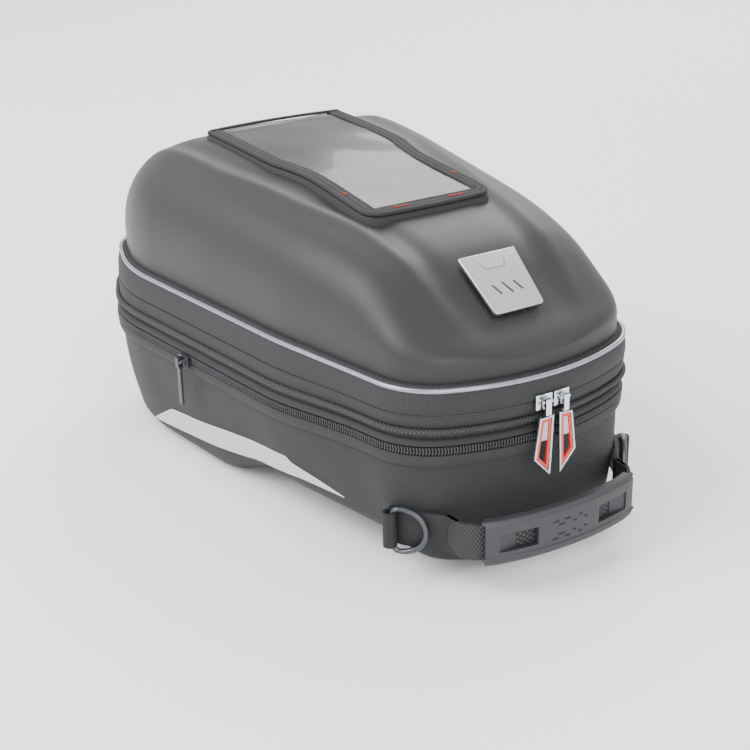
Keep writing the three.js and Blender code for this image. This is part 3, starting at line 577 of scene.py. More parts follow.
@dataclass
class Rim:
    """The bag's plan outline and how its walls lean out from it."""

    corners: Sequence[tuple[float, float, float]] = (
        (82.0, 21.7, 44.0),
        (101.5, 131.0, 300.0),
        (120.0, 303.0, 120.0),
        (97.0, 376.0, 50.0),
    )
    rider_arc: float = 150.0
    rider_half_angle: float = math.radians(22.7)
    length: float = 385.0
    side_lean: Section = ((0, 0), (30, 3.5), (72, 8), (90, 7.5), (104, 4), (118, 0.5), (122, 0))
    rider_lean: Section = ((0, -1), (90, -2.5), (104, -1.5), (118, 0))
    lean_runs: tuple[float, float, float, float] = (55, 130, 300, 372)
    places: list[tuple[Vector, Vector]] = field(default_factory=list)
    reach: list[float] = field(default_factory=list)

    def __post_init__(self) -> None:
        """Samples the outline once, anticlockwise from the middle of the rider's end."""
        apex = self.rider_arc - self.rider_arc / math.cos(self.rider_half_angle)
        right = [Vector((x, y, 0)) for x, y, _ in self.corners]
        radii = [r for *_, r in self.corners]
        left = [Vector((-p.x, p.y, 0)) for p in reversed(right)]
        points = [Vector((0, apex, 0)), *right, Vector((0, self.length, 0)), *left]
        rounds = [self.rider_arc, *radii, 400.0, *reversed(radii)]
        raw = []
        for i, here in enumerate(points):
            into = (here - points[i - 1]).normalized()
            out = (points[(i + 1) % len(points)] - here).normalized()
            turn = math.acos(max(-1, min(1, into.dot(out))))
            start = here - into * rounds[i] * math.tan(turn / 2)
            centre = start + Vector((-into.y, into.x, 0)) * rounds[i]
            steps = max(4, int(rounds[i] * turn / 1.5))
            for k in range(steps + 1):
                angle = math.atan2(into.y, into.x) + turn * k / steps
                normal = Vector((math.sin(angle), -math.cos(angle), 0))
                raw.append((centre + normal * rounds[i], normal))
        first = min(range(len(raw)), key=lambda i: abs(raw[i][0].x) + raw[i][0].y)
        self.places = [*raw[first:], *raw[: first + 1]]
        self.reach = [0.0]
        for (a, _), (b, _) in zip(self.places, self.places[1:]):
            self.reach.append(self.reach[-1] + (b - a).length)

    def station(self, share: float) -> tuple[Vector, Vector]:
        """Point and outward direction at a share of the way round."""
        want = (share % 1.0) * self.reach[-1]
        low, high = 0, len(self.reach) - 1
        while high - low > 1:
            middle = (low + high) // 2
            low, high = (middle, high) if self.reach[middle] <= want else (low, middle)
        span = self.reach[high] - self.reach[low]
        t = (want - self.reach[low]) / span if span else 0.0
        (p0, n0), (p1, n1) = self.places[low], self.places[high]
        return p0.lerp(p1, t), n0.lerp(n1, t).normalized()

    def lean(self, point: Vector, z: float) -> float:
        """How far the wall leans out at a point of the outline and a level."""
        grow, full, fade, gone = self.lean_runs
        side = smooth_step(point.y, grow, full) * (1 - smooth_step(point.y, fade, gone))
        rider = 1 - smooth_step(point.y, 0, grow)
        return side * table_at(self.side_lean, z) + rider * table_at(self.rider_lean, z)

    def wall(self, share: float, out: float, z: float) -> Vector:
        """A point in millimetres at a distance outside the wall's face."""
        point, normal = self.station(share)
        p = point + normal * (self.lean(point, z) + out)
        return Vector((p.x, p.y, z))

    def share_at(self, side: int, y: float) -> float:
        """The share at which the outline passes y, on the left (-1) or right (1) side."""
        for i in range(1, len(self.places)):
            here, last = self.places[i][0], self.places[i - 1][0]
            if here.x * side > 5 and (last.y - y) * (here.y - y) <= 0 and here.y != last.y:
                t = (y - last.y) / (here.y - last.y)
                return (self.reach[i - 1] + t * (self.reach[i] - self.reach[i - 1])) / self.reach[-1]
        raise ValueError(f"the outline does not pass {y} mm")

    def band(
        self,
        name: str,
        section: Section,
        columns: int = 300,
        start: float = 0.0,
        end: float = 1.0,
        angle: float = 50,
    ) -> bpy.types.Object:
        """A closed band round the bag, or along part of it.

        Args:
            name: The piece's name.
            section: Corners as distance outwards and level, in millimetres.
            columns: Faces round the bag.
            start: Share at which it starts.
            end: Share at which it ends.
            angle: Edges sharper than this stay sharp, in degrees.

        Returns:
            The new closed mesh object.
        """
        whole = end - start > 0.999
        corners = len(section)

        def place(u: float, v: float) -> Vector:
            """Point of the section at the share of the way round."""
            out, z = section[round(v * corners) % corners]
            p = self.wall(start + (end - start) * u if not (whole and u > 0.9999) else start, out, z)
            return row(p.x, p.y, p.z)

        length = self.reach[-1] * (end - start) * MM
        girth = sum(math.dist(section[i], section[i - 1]) for i in range(corners)) * MM
        piece = skin(name, columns, corners, place, (length, girth))
        if not whole:
            close_up(piece)
        turn_outward(piece)
        return settle(piece, angle)

    def beads(
        self,
        name: str,
        pitch: float,
        size: tuple[float, float, float],
        out: float,
        z: float,
        turn: float,
        start: float = 0.0,
        end: float = 1.0,
    ) -> bpy.types.Object:
        """A row of equal beads along the outline: one is modelled, and an array of it is bent along a curve.

        Args:
            name: The piece's name.
            pitch: Distance from one to the next, in millimetres.
            size: Length along the row, depth and height of a bead, in millimetres.
            out: Distance outside the wall's face.
            z: Level of the row.
            turn: How far each bead leans over, in degrees.
            start: Share at which the row starts.
            end: Share at which it ends.

        Returns:
            The new mesh object.
        """
        whole = end - start > 0.999
        steps = 420
        deselect()
        data = bpy.data.curves.new(name + "_path", "CURVE")
        data.dimensions = "3D"
        data.twist_mode = "Z_UP"
        spline = data.splines.new("POLY")
        spline.points.add(steps - 1 if whole else steps)
        for k, point in enumerate(spline.points):
            p = self.wall(start + (end - start) * k / steps, out, z)
            point.co = (*row(p.x, p.y, p.z), 1)
        spline.use_cyclic_u = whole
        path = bpy.data.objects.new(name + "_path", data)
        bpy.context.scene.collection.objects.link(path)
        length = spline.calc_length()
        count = int(length / (pitch * MM))
        bpy.ops.mesh.primitive_uv_sphere_add(segments=6, ring_count=4, radius=0.5)
        piece = bpy.context.active_object
        piece.name = name
        piece.scale = [value * MM for value in size]
        bpy.ops.object.transform_apply(scale=True)
        piece.rotation_euler = (0, math.radians(turn), 0)
        bpy.ops.object.transform_apply(rotation=True)
        piece.location = (pitch * MM / 2, 0, 0)
        bpy.ops.object.transform_apply(location=True)
        apply_modifier(
            piece,
            "ARRAY",
            count=count,
            use_relative_offset=False,
            use_constant_offset=True,
            constant_offset_displace=(length / count, 0, 0),
        )
        apply_modifier(piece, "CURVE", object=path, deform_axis="POS_X")
        bpy.data.objects.remove(path)
        return settle(piece)


RIM = Rim()


# ---- sub-assemblies -----------------------------------------------------------------------------


@dataclass
class Tub:
    """The lower body: a padded tub with an arched floor, its flashes, the inner board and the lock unit."""

    top: float = 78.2
    edge: float = 16.0
    wall: float = 3.4
    arch_height: float = 19.0
    arch: tuple[float, float, float, float] = (12, 54, 158, 216)
    flash_top: Section = ((79, 34), (121, 43), (125, 46.6), (186, 40.5), (259, 31), (291, 12.5))
    flash_low: Section = ((79, 33.5), (116, 33), (205, 21.5), (243, 17), (291, 12))
    kept_nodes: tuple[str, ...] = (
        "lock_spring",
        "lock_screw_1",
        "lock_screw_2",
        "lock_screw_3",
        "lock_screw_4",
        "lock_clamp_plate",
    )

    def arch_level(self, y: float) -> float:
        """Height of the arched floor at a distance from the rider's end."""
        a, b, c, d = self.arch
        return self.arch_height * min(smooth_step(y, a, b), 1 - smooth_step(y, c, d))

    def skin_point(self, share: float, v: float, out: float = 0.0) -> Vector:
        """A point of the tub's outside: v runs from the floor's middle, 0, over the edge to the top, 1."""
        floor_share, edge_share = 0.25, 0.45
        inset_at = lambda z: 6.5 - 4.5 * z / self.top
        if v <= floor_share:
            t = v / floor_share
            rim = RIM.wall(share, -(inset_at(0) + self.edge), 0)
            hub = Vector((0, min(max(rim.y, 110), 290), 0))
            p = hub.lerp(rim, t)
            return Vector((p.x, p.y, self.arch_level(p.y) - out))
        if v <= edge_share:
            angle = (v - floor_share) / (edge_share - floor_share) * math.pi / 2
            z = self.edge * (1 - math.cos(angle))
            p = RIM.wall(share, -(inset_at(z) + self.edge * (1 - math.sin(angle))) + out * math.sin(angle), z)
        else:
            z = self.edge + (self.top - self.edge) * (v - edge_share) / (1 - edge_share)
            # The padded wall swells a little between its stiff edges and ripples softly along its length.
            swell = 1.4 * math.sin(math.pi * (z - self.edge) / (self.top - self.edge))
            turn = share * 2 * math.pi
            ripple = 0.35 * math.sin(turn * 17 + z * 0.05) * math.sin(turn * 5 + 1)
            p = RIM.wall(share, -inset_at(z) + swell * (1 + ripple) + out, z)
        low = self.arch_level(p.y)
        return Vector((p.x, p.y, low + z * (self.top - low) / self.top))

    def build_body(self) -> None:
        """Makes the tub's walls and floor as one skin with a thickness."""

        def place(u: float, v: float) -> Vector:
            """Point of the skin."""
            p = self.skin_point(0.0 if u > 0.9999 else u, v)
            return row(p.x, p.y, p.z)

        piece = skin("tub_cloth", 288, 44, place, (RIM.reach[-1] * MM, 0.23))
        apply_modifier(piece, "SOLIDIFY", thickness=self.wall * MM, offset=-1.0)
        settle(piece, 50)
        dress(piece, BALLISTIC, "ballistic_nylon", "base", ["tub_shell"])

    def build_flash(self, side: int) -> None:
        """Presses a pointed reflective flash on one side of the tub.

        Args:
            side: -1 for the left side, 1 for the right.
        """
        first, last = self.flash_top[0][0], self.flash_top[-1][0]

        def place(u: float, v: float) -> Vector:
            """Point of the flash, just outside the cloth."""
            y = first + (last - first) * u
            z = table_at(self.flash_low, y) + (table_at(self.flash_top, y) - table_at(self.flash_low, y)) * v
            share = RIM.share_at(side, y)
            low = self.arch_level(y)
            level = max(0.0, (z - low) * self.top / (self.top - low))
            if level > self.edge:
                depth = 0.45 + 0.55 * (level - self.edge) / (self.top - self.edge)
            else:
                depth = 0.25 + 0.2 * math.acos(max(-1, min(1, 1 - level / self.edge))) / (math.pi / 2)
            p = self.skin_point(share, depth, 0.35)
            return row(p.x, p.y, p.z)

        name = "flash_left" if side < 0 else "flash_right"
        piece = skin(name, 90, 8, place, (0.2, 0.02))
        apply_modifier(piece, "SOLIDIFY", thickness=0.25 * MM, offset=0.0)
        turn_outward(piece)
        dress(settle(piece, 60), REFLECTIVE, "ballistic_nylon", "base")

    def build_lock(self) -> None:
        """Rounds the edges of the lock unit and dresses its metal."""
        body = copy_node("lock_body", "lock_housing", 0.8)
        dress(body, NYLON_MOULDED, "black_plastic", "base", ["lock_housing"])
        dress(copy_node("lock_tongue", "lock_latch", 0.5), STEEL, "steel", "latch", ["lock_latch"])
        tab = copy_node("release_tab", "lock_release_tab", 0.6)
        dress(tab, RED, "red_enamel", "latch", ["lock_release_tab"])
        dress(copy_node("inner_board", "base_board", 0.6), BOARD, "board", "base", ["base_board"])
        for node in self.kept_nodes:
            dress_node(node, STEEL)

    def build(self) -> None:
        """Builds the whole sub-assembly."""
        self.build_body()
        self.build_flash(-1)
        self.build_flash(1)
        self.build_lock()


@dataclass
class Collar:
    """Zips, tapes, collar band, welt, gusset and hinge strip: everything between the tub and the lid."""

    coil_level: float = 83.2
    coil_pitch: float = 1.75
    zip_level: float = 105.0
    zip_pitch: float = 1.5

    def build_expansion(self) -> None:
        """Makes the coarse expansion zip with a tape above and below it."""
        lower = [(-3.4, 73.5), (0.0, 73.5), (0.9, 75.5), (1.3, 78.0), (1.0, 80.2), (-0.6, 81.0), (-3.4, 81.0)]
        dress(
            RIM.band("expansion_tape_lower", lower), BAND_CLOTH, "zip_tape", "base", ["expansion_zip_lower"]
        )
        bed = [(-3.2, 81.2), (0.2, 81.2), (0.2, 83.1), (-3.2, 83.1)]
        dress(RIM.band("expansion_bed_lower", bed), TAPE, "zip_tape", "base")
        bed = [(-3.2, 83.3), (0.2, 83.3), (0.2, 85.2), (-3.2, 85.2)]
        dress(RIM.band("expansion_bed_upper", bed), TAPE, "zip_tape", "collar")
        for name, level, turn, body in (("lower", -0.95, 14, "base"), ("upper", 0.95, -14, "collar")):
            row_piece = RIM.beads(
                "expansion_coil_" + name,
                self.coil_pitch,
                (1.25, 1.7, 3.3),
                0.9,
                self.coil_level + level,
                turn,
            )
            replaced = ["expansion_zip_upper"] if name == "upper" else []
            dress(row_piece, COIL, "zip_coil", body, replaced)
        upper = [(-3.4, 85.4), (-0.6, 85.4), (1.0, 86.2), (0.9, 88.6), (-0.6, 90.2), (-3.4, 90.2)]
        dress(RIM.band("expansion_tape_upper", upper), TAPE, "zip_tape", "collar")

    def build_bands(self) -> None:
        """Makes the collar's cloth band, its corded welt and the fine main zip."""
        band = [
            (-4.2, 89.2),
            (-1.2, 89.2),
            (-1.4, 92.5),
            (-0.4, 95.0),
            (0.6, 98.5),
            (1.2, 101.5),
            (0.9, 103.8),
            (0.3, 104.7),
            (-4.2, 104.7),
        ]
        dress(RIM.band("collar_cloth", band), BAND_CLOTH, "ballistic_nylon", "collar", ["collar_band"])
        welt = cord_section(1.2, 95.2, 1.8)
        dress(RIM.band("welt_cord", welt), WEBBING, "webbing", "collar", ["collar_welt"])
        start, end = RIM.share_at(-1, 366) - 1, RIM.share_at(1, 366)
        lower = [(-3.0, 103.4), (0.6, 103.4), (0.9, 104.2), (0.6, 104.9), (-3.0, 104.9)]
        upper = [(-3.0, 105.1), (0.6, 105.1), (0.9, 105.8), (0.6, 106.6), (-3.0, 106.6)]
        for name, section, body in (("lower", lower, "collar"), ("upper", upper, "lid")):
            tape = RIM.band(f"main_tape_{name}", section, 260, start, end)
            dress(tape, COIL_FINE, "zip_coil", body, [f"main_zip_{name}"])
        teeth = RIM.beads(
            "main_teeth", self.zip_pitch, (0.7, 0.9, 1.3), 0.9, self.zip_level - 0.1, 0, start, end
        )
        dress(teeth, COIL, "zip_coil", "collar")

    def build_gusset(self) -> None:
        """Makes the folded cloth between the tub and the collar, and the hinge at the far end."""

        def place(u: float, v: float) -> Vector:
            """Point of the pleated wall."""
            z = 62 + 32 * v
            p = RIM.wall(0.0 if u > 0.9999 else u, -6.6 - 1.0 * math.sin(v * math.pi * 6) ** 2, z)
            return row(p.x, p.y, p.z)

        piece = skin("gusset_cloth", 160, 36, place, (RIM.reach[-1] * MM, 0.05))
        apply_modifier(piece, "SOLIDIFY", thickness=0.8 * MM, offset=0.0)
        settle(piece)
        dress(piece, LINING, "ballistic_nylon", "", ["expansion_gusset"])
        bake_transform(piece)
        start, end = RIM.share_at(1, 374), RIM.share_at(-1, 374)
        strip = [
            (-3.2, 100.8), (-0.2, 100.8), (0.5, 103), (0.6, 105), (0.5, 107), (-0.2, 109.2), (-3.2, 109.2),
        ]
        hinge = RIM.band("hinge_cloth", strip, 60, start, end)
        dress(hinge, BAND_CLOTH, "ballistic_nylon", "", ["lid_hinge_strip"])
        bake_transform(hinge)

    def build(self) -> None:
        """Builds the whole sub-assembly."""
        self.build_expansion()
        self.build_bands()
        self.build_gusset()


@dataclass
class Lid:
    """The lid: cloth band, silver piping, ledge and the domed foam shell."""

    base: float = 121.0
    skirt: float = 131.0
    inset: float = 5.0
    power: float = 5.5
    root: float = 0.42
    spine: Section = (
        (5, 131),
        (14, 137.5),
        (28, 145.5),
        (44, 156.5),
        (60, 168),
        (76, 176.5),
        (100, 183),
        (130, 187.5),
        (215, 195.5),
        (270, 198.5),
        (310, 198),
        (335, 191),
        (352, 177),
        (366, 159),
        (376, 143),
        (380, 131),
    )
    crease: Section = (
        (20, 42), (40, 45), (60, 48), (80, 50), (120, 54), (160, 63), (200, 69), (240, 78), (340, 84),
    )

    def __post_init__(self) -> None:
        """Smooths the spine and samples the foot's half width once."""
        self.spine_smooth = smooth_table(self.spine)
        self.foot_width = []
        for k in range(1, 400):
            point, normal = RIM.station(k / 800)
            foot = point - normal * self.inset
            if not self.foot_width or foot.y > self.foot_width[-1][0]:
                self.foot_width.append((foot.y, foot.x))

    def level(self, x: float, y: float) -> float:
        """Height of the shell over a place of the plan."""
        across = min(1.0, abs(x) / max(1.0, table_at(self.foot_width, y)))
        rise = (1 - across**self.power) ** self.root
        height = self.skirt + (table_at(self.spine_smooth, y) - self.skirt) * rise
        # The soft crease on each side of the bonnet: a low ridge with a shallow valley inside it.
        line = table_at(self.crease, y)
        fade = smooth_step(y, 14, 50) * (1 - smooth_step(y, 300, 345))
        ridge = 1.7 * math.exp(-(((abs(x) - line) / 6.5) ** 2))
        valley = 1.9 * math.exp(-(((abs(x) - line + 14) / 8) ** 2))
        return height + fade * (ridge - valley)

    def shell_point(self, u: float, v: float) -> Vector:
        """A point of the shell: v runs from the foot, 0, to the top, 1."""
        share = 0.0 if u > 0.9999 else u
        point, normal = RIM.station(share)
        foot = point - normal * self.inset
        if v < 0.12:
            t = v / 0.12
            return Vector((foot.x, foot.y, self.base + (self.skirt - self.base) * t))
        t = ((v - 0.12) / 0.88) ** 2.3
        hub = Vector((0, min(max(foot.y, 115), 265), 0))
        p = foot.lerp(hub, t)
        return Vector((p.x, p.y, self.level(p.x, p.y)))

    def build_shell(self) -> None:
        """Makes the domed shell with its thickness."""

        def place(u: float, v: float) -> Vector:
            """Point of the shell."""
            p = self.shell_point(u, v)
            return row(p.x, p.y, p.z)

        piece = skin("lid_dome", 320, 84, place, (RIM.reach[-1] * MM, 0.2))
        apply_modifier(piece, "SOLIDIFY", thickness=3.2 * MM, offset=-1.0)
        settle(piece, 60)
        dress(piece, EVA, "eva_shell", "lid", ["lid_shell"])

    def build_bands(self) -> None:
        """Makes the lid's cloth band, its piping, the ledge and the stitching on it."""
        band = [
            (-4.2, 105.3),
            (0.3, 105.3),
            (0.9, 106.2),
            (1.4, 108.5),
            (1.3, 112.0),
            (0.7, 115.5),
            (-0.4, 118.3),
            (-4.2, 118.3),
        ]
        dress(RIM.band("lid_cloth", band), BAND_CLOTH, "ballistic_nylon", "lid", ["lid_band"])
        piping = cord_section(-0.9, 119.7, 1.55, 18)
        dress(RIM.band("piping_cord", piping, 400), PIPING, "silver_piping", "lid", ["lid_piping"])
        ledge = [(-7.5, 118.4), (-2.6, 118.4), (-2.3, 120.4), (-2.8, 121.4), (-4.4, 121.9), (-7.5, 121.9)]
        dress(RIM.band("ledge_cloth", ledge), BAND_CLOTH, "ballistic_nylon", "lid")
        stitches = RIM.beads("ledge_stitches", 3.0, (2.2, 0.6, 0.6), -3.6, 121.9, 0)
        dress(stitches, THREAD_DARK, "webbing", "lid")

    def build(self) -> None:
        """Builds the whole sub-assembly."""
        self.build_shell()
        self.build_bands()


@dataclass
class Pocket:
    """The phone pocket on the lid: raised frame, clear window, lining and bar tacks."""

    start: float = 114.0
    length: float = 193.0
    top: float = 190.6
    pitch: float = math.tan(math.radians(3.6))
    crown: float = 2.6
    half_width: Section = ((0, 45), (20, 45.5), (70, 44.5), (95, 48), (115, 51.5), (193, 52))
    corner: float = 11.0
    frame_width: float = 9.5

    def surface(self, y: float) -> float:
        """Height of the frame's top over a distance from the rider's end of the bag."""
        along = (y - self.start) / self.length
        bulge = self.crown * math.sin(math.pi * min(1, max(0, along)))
        return self.top + self.pitch * (y - self.start) + bulge

    def edge_path(self) -> list[tuple[Vector, Vector]]:
        """The frame's outer edge from its far left, round the rider's end, to its far right."""
        widths = smooth_table(self.half_width)
        side = []
        for k in range(61):
            along = self.length + (self.corner - self.length) * k / 60
            side.append(Vector((-table_at(widths, along), self.start + along, 0)))
        base = side[-1].x + self.corner
        for k in range(1, 13):
            a = math.pi / 2 * k / 12
            x, y = base - self.corner * math.cos(a), self.start + self.corner * (1 - math.sin(a))
            side.append(Vector((x, y, 0)))
        for k in range(1, 12):
            side.append(Vector((base * (1 - k / 12), self.start - 1.2 * math.sin(math.pi / 2 * k / 12), 0)))
        points = [*side, Vector((0, self.start - 1.2, 0)), *[Vector((-p.x, p.y, 0)) for p in reversed(side)]]
        path = []
        for i, p in enumerate(points):
            along = (points[min(i + 1, len(points) - 1)] - points[max(i - 1, 0)]).normalized()
            path.append((Vector((p.x, p.y, self.surface(p.y))), Vector((along.y, -along.x, 0))))
        return path

    def build_frame(self) -> None:
        """Makes the raised frame, with sewn grooves along it, and its lower gusset."""
        path = self.edge_path()
        width = self.frame_width
        top = [
            (-0.3, -2.2),
            (0.3, -1.2),
            (0.1, -0.2),
            (-0.8, 0.4),
            (-2.6, 0.6),
            (-3.2, 0.1),
            (-3.8, 0.6),
            (-6.2, 0.7),
            (-6.8, 0.2),
            (-7.4, 0.6),
            (-width, 0.3),
            (-width - 0.4, -0.6),
            (-width, -2.2),
        ]
        dress(sweep("pocket_edge", path, top, False, 60), TAPE, "ballistic_nylon", "lid", ["pocket_frame"])
        gusset = [(-1.6, -12.0), (-0.9, -9.0), (-1.6, -6.0), (-0.9, -2.6), (-4.5, -2.6), (-4.5, -12.0)]
        dress(sweep("pocket_gusset", path, gusset, False, 60), LINING, "ballistic_nylon", "lid")
        rest = [(1.6, -9.2), (0.6, -3.4), (-0.4, -2.4), (-0.9, -3.2), (-0.4, -9.2)]
        dress(sweep("pocket_welt", path, rest, False, 60), BAND_CLOTH, "ballistic_nylon", "lid")

    def build_window(self) -> None:
        """Makes the clear film, the lining under it and the lip of the mouth at the far end."""
        widths = smooth_table(self.half_width)

        def sheet(drop: float, margin: float, far: float) -> Place:
            """A place function for a sheet that lies inside the frame."""

            def place(u: float, v: float) -> Vector:
                """Point of the sheet."""
                y = self.start + margin + (self.length - margin + far) * v
                along = y - self.start
                half = table_at(widths, along) - margin
                near = max(0.0, self.corner - along) if along < self.corner else 0.0
                half -= near * 0.55
                x = half * (2 * u - 1)
                wave = 0.25 * math.sin(x * 0.09 + y * 0.05) * math.sin(y * 0.043 + 1)
                return row(x, y, self.surface(y) - drop + wave)

            return place

        film = skin("pocket_film", 60, 110, sheet(0.4, 8.6, -1.0), (0.09, 0.18))
        apply_modifier(film, "SOLIDIFY", thickness=0.6 * MM, offset=-1.0)
        dress(settle(film), FILM, "clear_film", "lid", ["pocket_window"])
        lining = skin("pocket_lining", 40, 80, sheet(5.0, 4.0, 0.0), (0.09, 0.18))
        apply_modifier(lining, "SOLIDIFY", thickness=1.0 * MM, offset=-1.0)
        dress(settle(lining), LINING, "ballistic_nylon", "lid", ["pocket_liner"])
        far = self.start + self.length
        bow = 0.0015  # per millimetre: how fast the lip curves back to its ends
        lip = [
            (Vector((x, far - bow * x * x + 2.0, self.surface(far))), Vector((0, 1, 0)))
            for x in range(-50, 51, 4)
        ]
        strip = [(-1.8, -0.4), (1.2, -0.4), (1.8, 0.3), (1.0, 1.1), (-1.6, 1.1)]
        dress(sweep("pocket_lip", lip, strip, False, 60), TAPE, "ballistic_nylon", "lid")
        flap = [(-1.2, -9.0), (1.6, -9.0), (1.6, -3.6), (-1.2, -3.6)]
        dress(sweep("pocket_mouth_band", lip, flap, False, 60), LINING, "ballistic_nylon", "lid")

    def build_tacks(self) -> None:
        """Sews the red bar tacks across the frame."""
        path = self.edge_path()
        places = (52, 76, 90, len(path) - 1 - 76, len(path) - 1 - 52, len(path) - 1 - 90)
        for number, index in enumerate(places):
            point, out = path[index]
            along = Vector((-out.y, out.x, 0))
            centre = point - out * 5.0
            tack = [(centre + along * (k - 4) * 0.55, along) for k in range(9)]
            zig = [(p + out * (0.5 if k % 2 else -0.5), out) for k, (p, _) in enumerate(tack)]
            thread = [(-0.35, 0.5), (0.35, 0.5), (0.35, 1.15), (-0.35, 1.15)]
            dress(sweep(f"bar_tack_{number + 1}", zig, thread, False), THREAD_RED, "webbing", "lid")

    def build(self) -> None:
        """Builds the whole sub-assembly."""
        self.build_frame()
        self.build_window()
        self.build_tacks()


@dataclass
class Badge:
    """The plain metal badge on the rider's slope, with a recess and three plain bars."""

    centre: tuple[float, float, float] = (0, 46.6, 158.8)
    slope: float = math.radians(36)
    stand_off: float = 1.9

    def matrix(self) -> Matrix:
        """The badge's own plane, in metres."""
        turn = Matrix.Rotation(self.slope, 4, "X")
        return Matrix.Translation(row(*self.centre)) @ turn @ Matrix.Translation((0, 0, self.stand_off * MM))

    def bar(
        self, name: str, x: float, y: float, size: tuple[float, float, float], turn: float, finish: Finish
    ) -> None:
        """Adds a small bevelled bar to the face.

        Args:
            name: The piece's name.
            x: Middle across the badge, in millimetres.
            y: Middle along it.
            size: Width, length and height in millimetres.
            turn: Turn in the plane, in degrees.
            finish: Its finish.
        """
        deselect()
        bpy.ops.mesh.primitive_cube_add(size=1)
        piece = bpy.context.active_object
        piece.name = name
        local = Matrix.Translation((x * MM, y * MM, 2.6 * MM)) @ Matrix.Rotation(math.radians(turn), 4, "Z")
        piece.matrix_world = self.matrix() @ local @ Matrix.Diagonal((*[s * MM for s in size], 1))
        settle(piece)
        apply_modifier(piece, "BEVEL", width=0.12 * MM, segments=2)
        dress(settle(piece, 40), finish, "satin_metal", "lid")

    def build(self) -> None:
        """Builds the badge."""
        dress(copy_node("badge_face", "badge_plate", 0.9, 4), SATIN, "satin_metal", "lid", ["badge_plate"])
        for number, (x, length) in enumerate(((-7.5, 7.5), (0.0, 9.0), (7.5, 7.5))):
            self.bar(f"badge_bar_{number + 1}", x, -5.0, (1.1, length, 0.5), 24, GUNMETAL)
        self.bar("badge_recess_base", 0, 9.5, (13.0, 1.0, 0.5), 0, STEEL)
        self.bar("badge_recess_left", -7.8, 12.2, (0.9, 6.0, 0.5), 25, STEEL)
        self.bar("badge_recess_right", 7.8, 12.2, (0.9, 6.0, 0.5), -25, STEEL)
        for node in ("badge_stud_left", "badge_stud_right"):
            dress_node(node, STEEL)


@dataclass
class Pulls:
    """The zip sliders with their links and pulls."""

    def build(self) -> None:
        """Rounds and dresses every slider, link and pull."""
        metal = ("satin_metal", SATIN)
        parts = (
            ("link_body", "pull_link", 0.5, 3, ("chrome", CHROME)),
            ("blade_edge", "pull_frame", 0.4, 3, metal),
            ("blade_rim", "pull_rim", 0.3, 2, ("red_enamel", RED)),
            ("blade_inlay", "pull_inlay", 0.3, 2, ("grey_inlay", INLAY)),
        )
        for side in ("left", "right"):
            slider = f"slider_{side}"
            dress(copy_node(f"slider_body_{side}", slider, 0.6, 3), CHROME, "chrome", slider, [slider])
            for name, stem, bevel, segments, (slot, finish) in parts:
                node = f"{stem}_{side}"
                piece = copy_node(f"{name}_{side}", node, bevel, segments)
                dress(piece, finish, slot, f"pull_{side}", [node])
        for name, node, bevel in (
            ("expansion_body", "expansion_slider", 0.6),
            ("expansion_tag", "expansion_pull", 0.4),
        ):
            dress(copy_node(name, node, bevel, 3), GUNMETAL, "dark_metal", node, [node])


@dataclass
class Carry:
    """The handle, its sewn webbing and the two D-rings."""

    level: float = 34.0
    strap: Sequence[tuple[float, float]] = (
        (62.2, 10.5), (61.5, 4), (60.3, -2), (52, -9.5), (28, -15.6), (0, -17.6),
    )
    webbing: float = 22.0
    thickness: float = 2.0

    def strap_path(self) -> list[tuple[Vector, Vector]]:
        """The strap's path from its left end to its right."""
        left = [(-x, y) for x, y in self.strap]
        points = [*left, *[(-x, y) for x, y in reversed(left[:-1])]]
        return [(p + Vector((0, 0, self.level)), n) for p, n in curve_path(points, 14)]

    def build_strap(self) -> None:
        """Makes the free webbing, which bends between its sewn ends and the handle."""
        half, thick = self.webbing / 2, self.thickness / 2
        crown = thick + 0.1
        section = [(-thick, -half), (thick, -half), (crown, 0), (thick, half), (-thick, half), (-crown, 0)]
        strap = sweep("handle_webbing", self.strap_path(), section, False)
        dress(strap, WEBBING, "webbing", "", ["handle_strap"])
        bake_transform(strap)
        points = [row(*p) for p, _ in self.strap_path()]

    def build_grip(self) -> None:
        """Rounds the moulded grip and adds its lip, ridge and plain raised bars."""
        grip = copy_node("grip_body", "handle_grip", 1.1, 4, 25)
        dress(grip, RUBBER, "rubber_grip", "handle", ["handle_grip"])
        path = [(p, n) for p, n in self.strap_path() if abs(p.x) < 54]
        lip = cord_section(2.6, 12.4, 1.5, 12)
        dress(sweep("grip_lip", path, lip, False, 60), RUBBER, "rubber_grip", "handle")
        ridge = cord_section(4.6, -9.3, 1.0, 10)
        dress(sweep("grip_ridge", path, ridge, False, 60), RUBBER, "rubber_grip", "handle")
        bars = ((-13, 5.5), (-9, 3.0), (-5, 5.5), (1, 3.0), (5, 5.5), (9, 3.0))
        for number, (start, height) in enumerate(bars):
            part = [(p, n) for p, n in self.strap_path() if start <= p.x <= start + 5]
            bar = [(4.2, height - 0.5), (5.25, height - 0.5), (5.25, height + 0.5), (4.2, height + 0.5)]
            low = [(out, z - 2 * height) for out, z in bar]
            if len(part) > 1:
                for end, shape in (("top", bar), ("low", low)):
                    piece = sweep(f"grip_bar_{number + 1}_{end}", part, shape, False)
                    # The bars wear the darkened copy of the grip's rubber: painted shade.
                    dress(piece, RUBBER_PAINTED_SHADE, "rubber_grip", "handle")

    def build_side(self, side: int) -> None:
        """Makes one sewn end with its D-ring.

        Args:
            side: -1 for the left, 1 for the right.
        """
        name = "left" if side < 0 else "right"
        anchor = f"strap_anchor_{name}"
        dress(copy_node(f"anchor_{name}", anchor, 0.5, 2), WEBBING, "webbing", "base", [anchor])
        ring = copy_node(f"ring_{name}", f"d_ring_{name}", 0)
        apply_modifier(ring, "SUBSURF", levels=2, render_levels=2)
        dress(settle(ring), GUNMETAL, "dark_metal", f"d_ring_{name}", [f"d_ring_{name}"])

    def build(self) -> None:
        """Builds the whole sub-assembly."""
        self.build_strap()
        self.build_grip()
        self.build_side(-1)
        self.build_side(1)


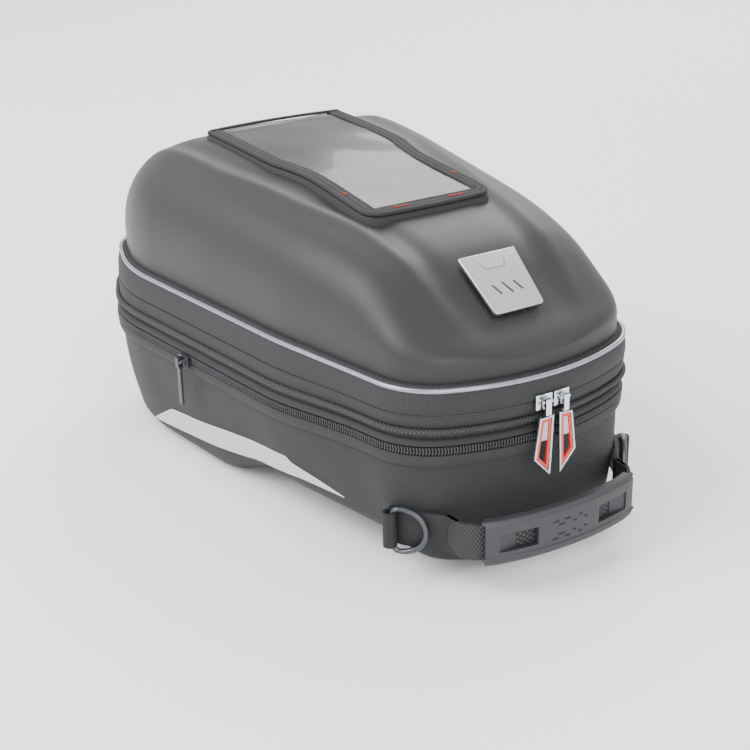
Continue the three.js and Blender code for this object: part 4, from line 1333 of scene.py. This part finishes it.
# ---- studio -------------------------------------------------------------------------------------


@dataclass
class Studio:
    """Pale floor, soft lights and the camera."""

    camera_place: tuple[float, float, float] = (-0.49065, -0.77834, 0.45244)
    right: tuple[float, float, float] = (0.84178, -0.53954, -0.01721)
    up: tuple[float, float, float] = (0.22749, 0.32564, 0.91772)
    back: tuple[float, float, float] = (-0.48955, -0.77644, 0.39685)
    lens: float = 72.0

    def build_camera(self) -> None:
        """Sets the camera."""
        data = bpy.data.cameras.new("camera")
        data.lens = self.lens
        data.sensor_width = 36.0
        camera = bpy.data.objects.new("camera", data)
        turn = Matrix((self.right, self.up, self.back)).transposed().to_4x4()
        camera.matrix_world = Matrix.Translation(self.camera_place) @ turn
        bpy.context.scene.collection.objects.link(camera)
        bpy.context.scene.camera = camera

    def build_light(self, name: str, place: tuple[float, float, float], size: float, power: float) -> None:
        """Adds a square soft light aimed at the bag.

        Args:
            name: Its name.
            place: Where it hangs, in metres.
            size: Its side in metres.
            power: Its power in watts.
        """
        data = bpy.data.lights.new(name, "AREA")
        data.size = size
        data.energy = power
        lamp = bpy.data.objects.new(name, data)
        lamp.location = place
        aim = Vector((0, 0, 0.1)) - Vector(place)
        lamp.rotation_euler = aim.to_track_quat("-Z", "Y").to_euler()
        bpy.context.scene.collection.objects.link(lamp)

    def build(self) -> None:
        """Builds the studio."""
        self.build_camera()
        self.build_light("key", (-1.6, 0.4, 1.7), 1.5, 62)
        self.build_light("fill", (-0.6, -2.2, 1.2), 1.8, 34)
        self.build_light("rim", (1.6, 1.4, 1.8), 1.6, 40)
        world = bpy.data.worlds.new("studio")
        world.use_nodes = True
        background = world.node_tree.nodes["Background"]
        background.inputs["Color"].default_value = (1, 1, 1, 1)
        background.inputs["Strength"].default_value = 1.4
        bpy.context.scene.world = world
        deselect()
        bpy.ops.mesh.primitive_plane_add(size=12)
        floor = bpy.context.active_object
        floor.name = "floor"
        paper = Finish(
            "floor_paper_matt", "#fbfbfc", "#f7f7f8", 0.9, Pattern.GRAIN, 2.0, 0, 0.02, 0.1, cloud=0.05,
        )
        floor.data.materials.append(paper.material())


def main() -> None:
    """Builds the studio and every sub-assembly."""
    Studio().build()
    for part in (Tub(), Collar(), Lid(), Pocket(), Badge(), Pulls(), Carry()):
        LOG.info("building %s", type(part).__name__)
        part.build()


if __name__ == "__main__":
    logging.basicConfig(level=logging.INFO, format="%(name)s %(message)s")
    main()
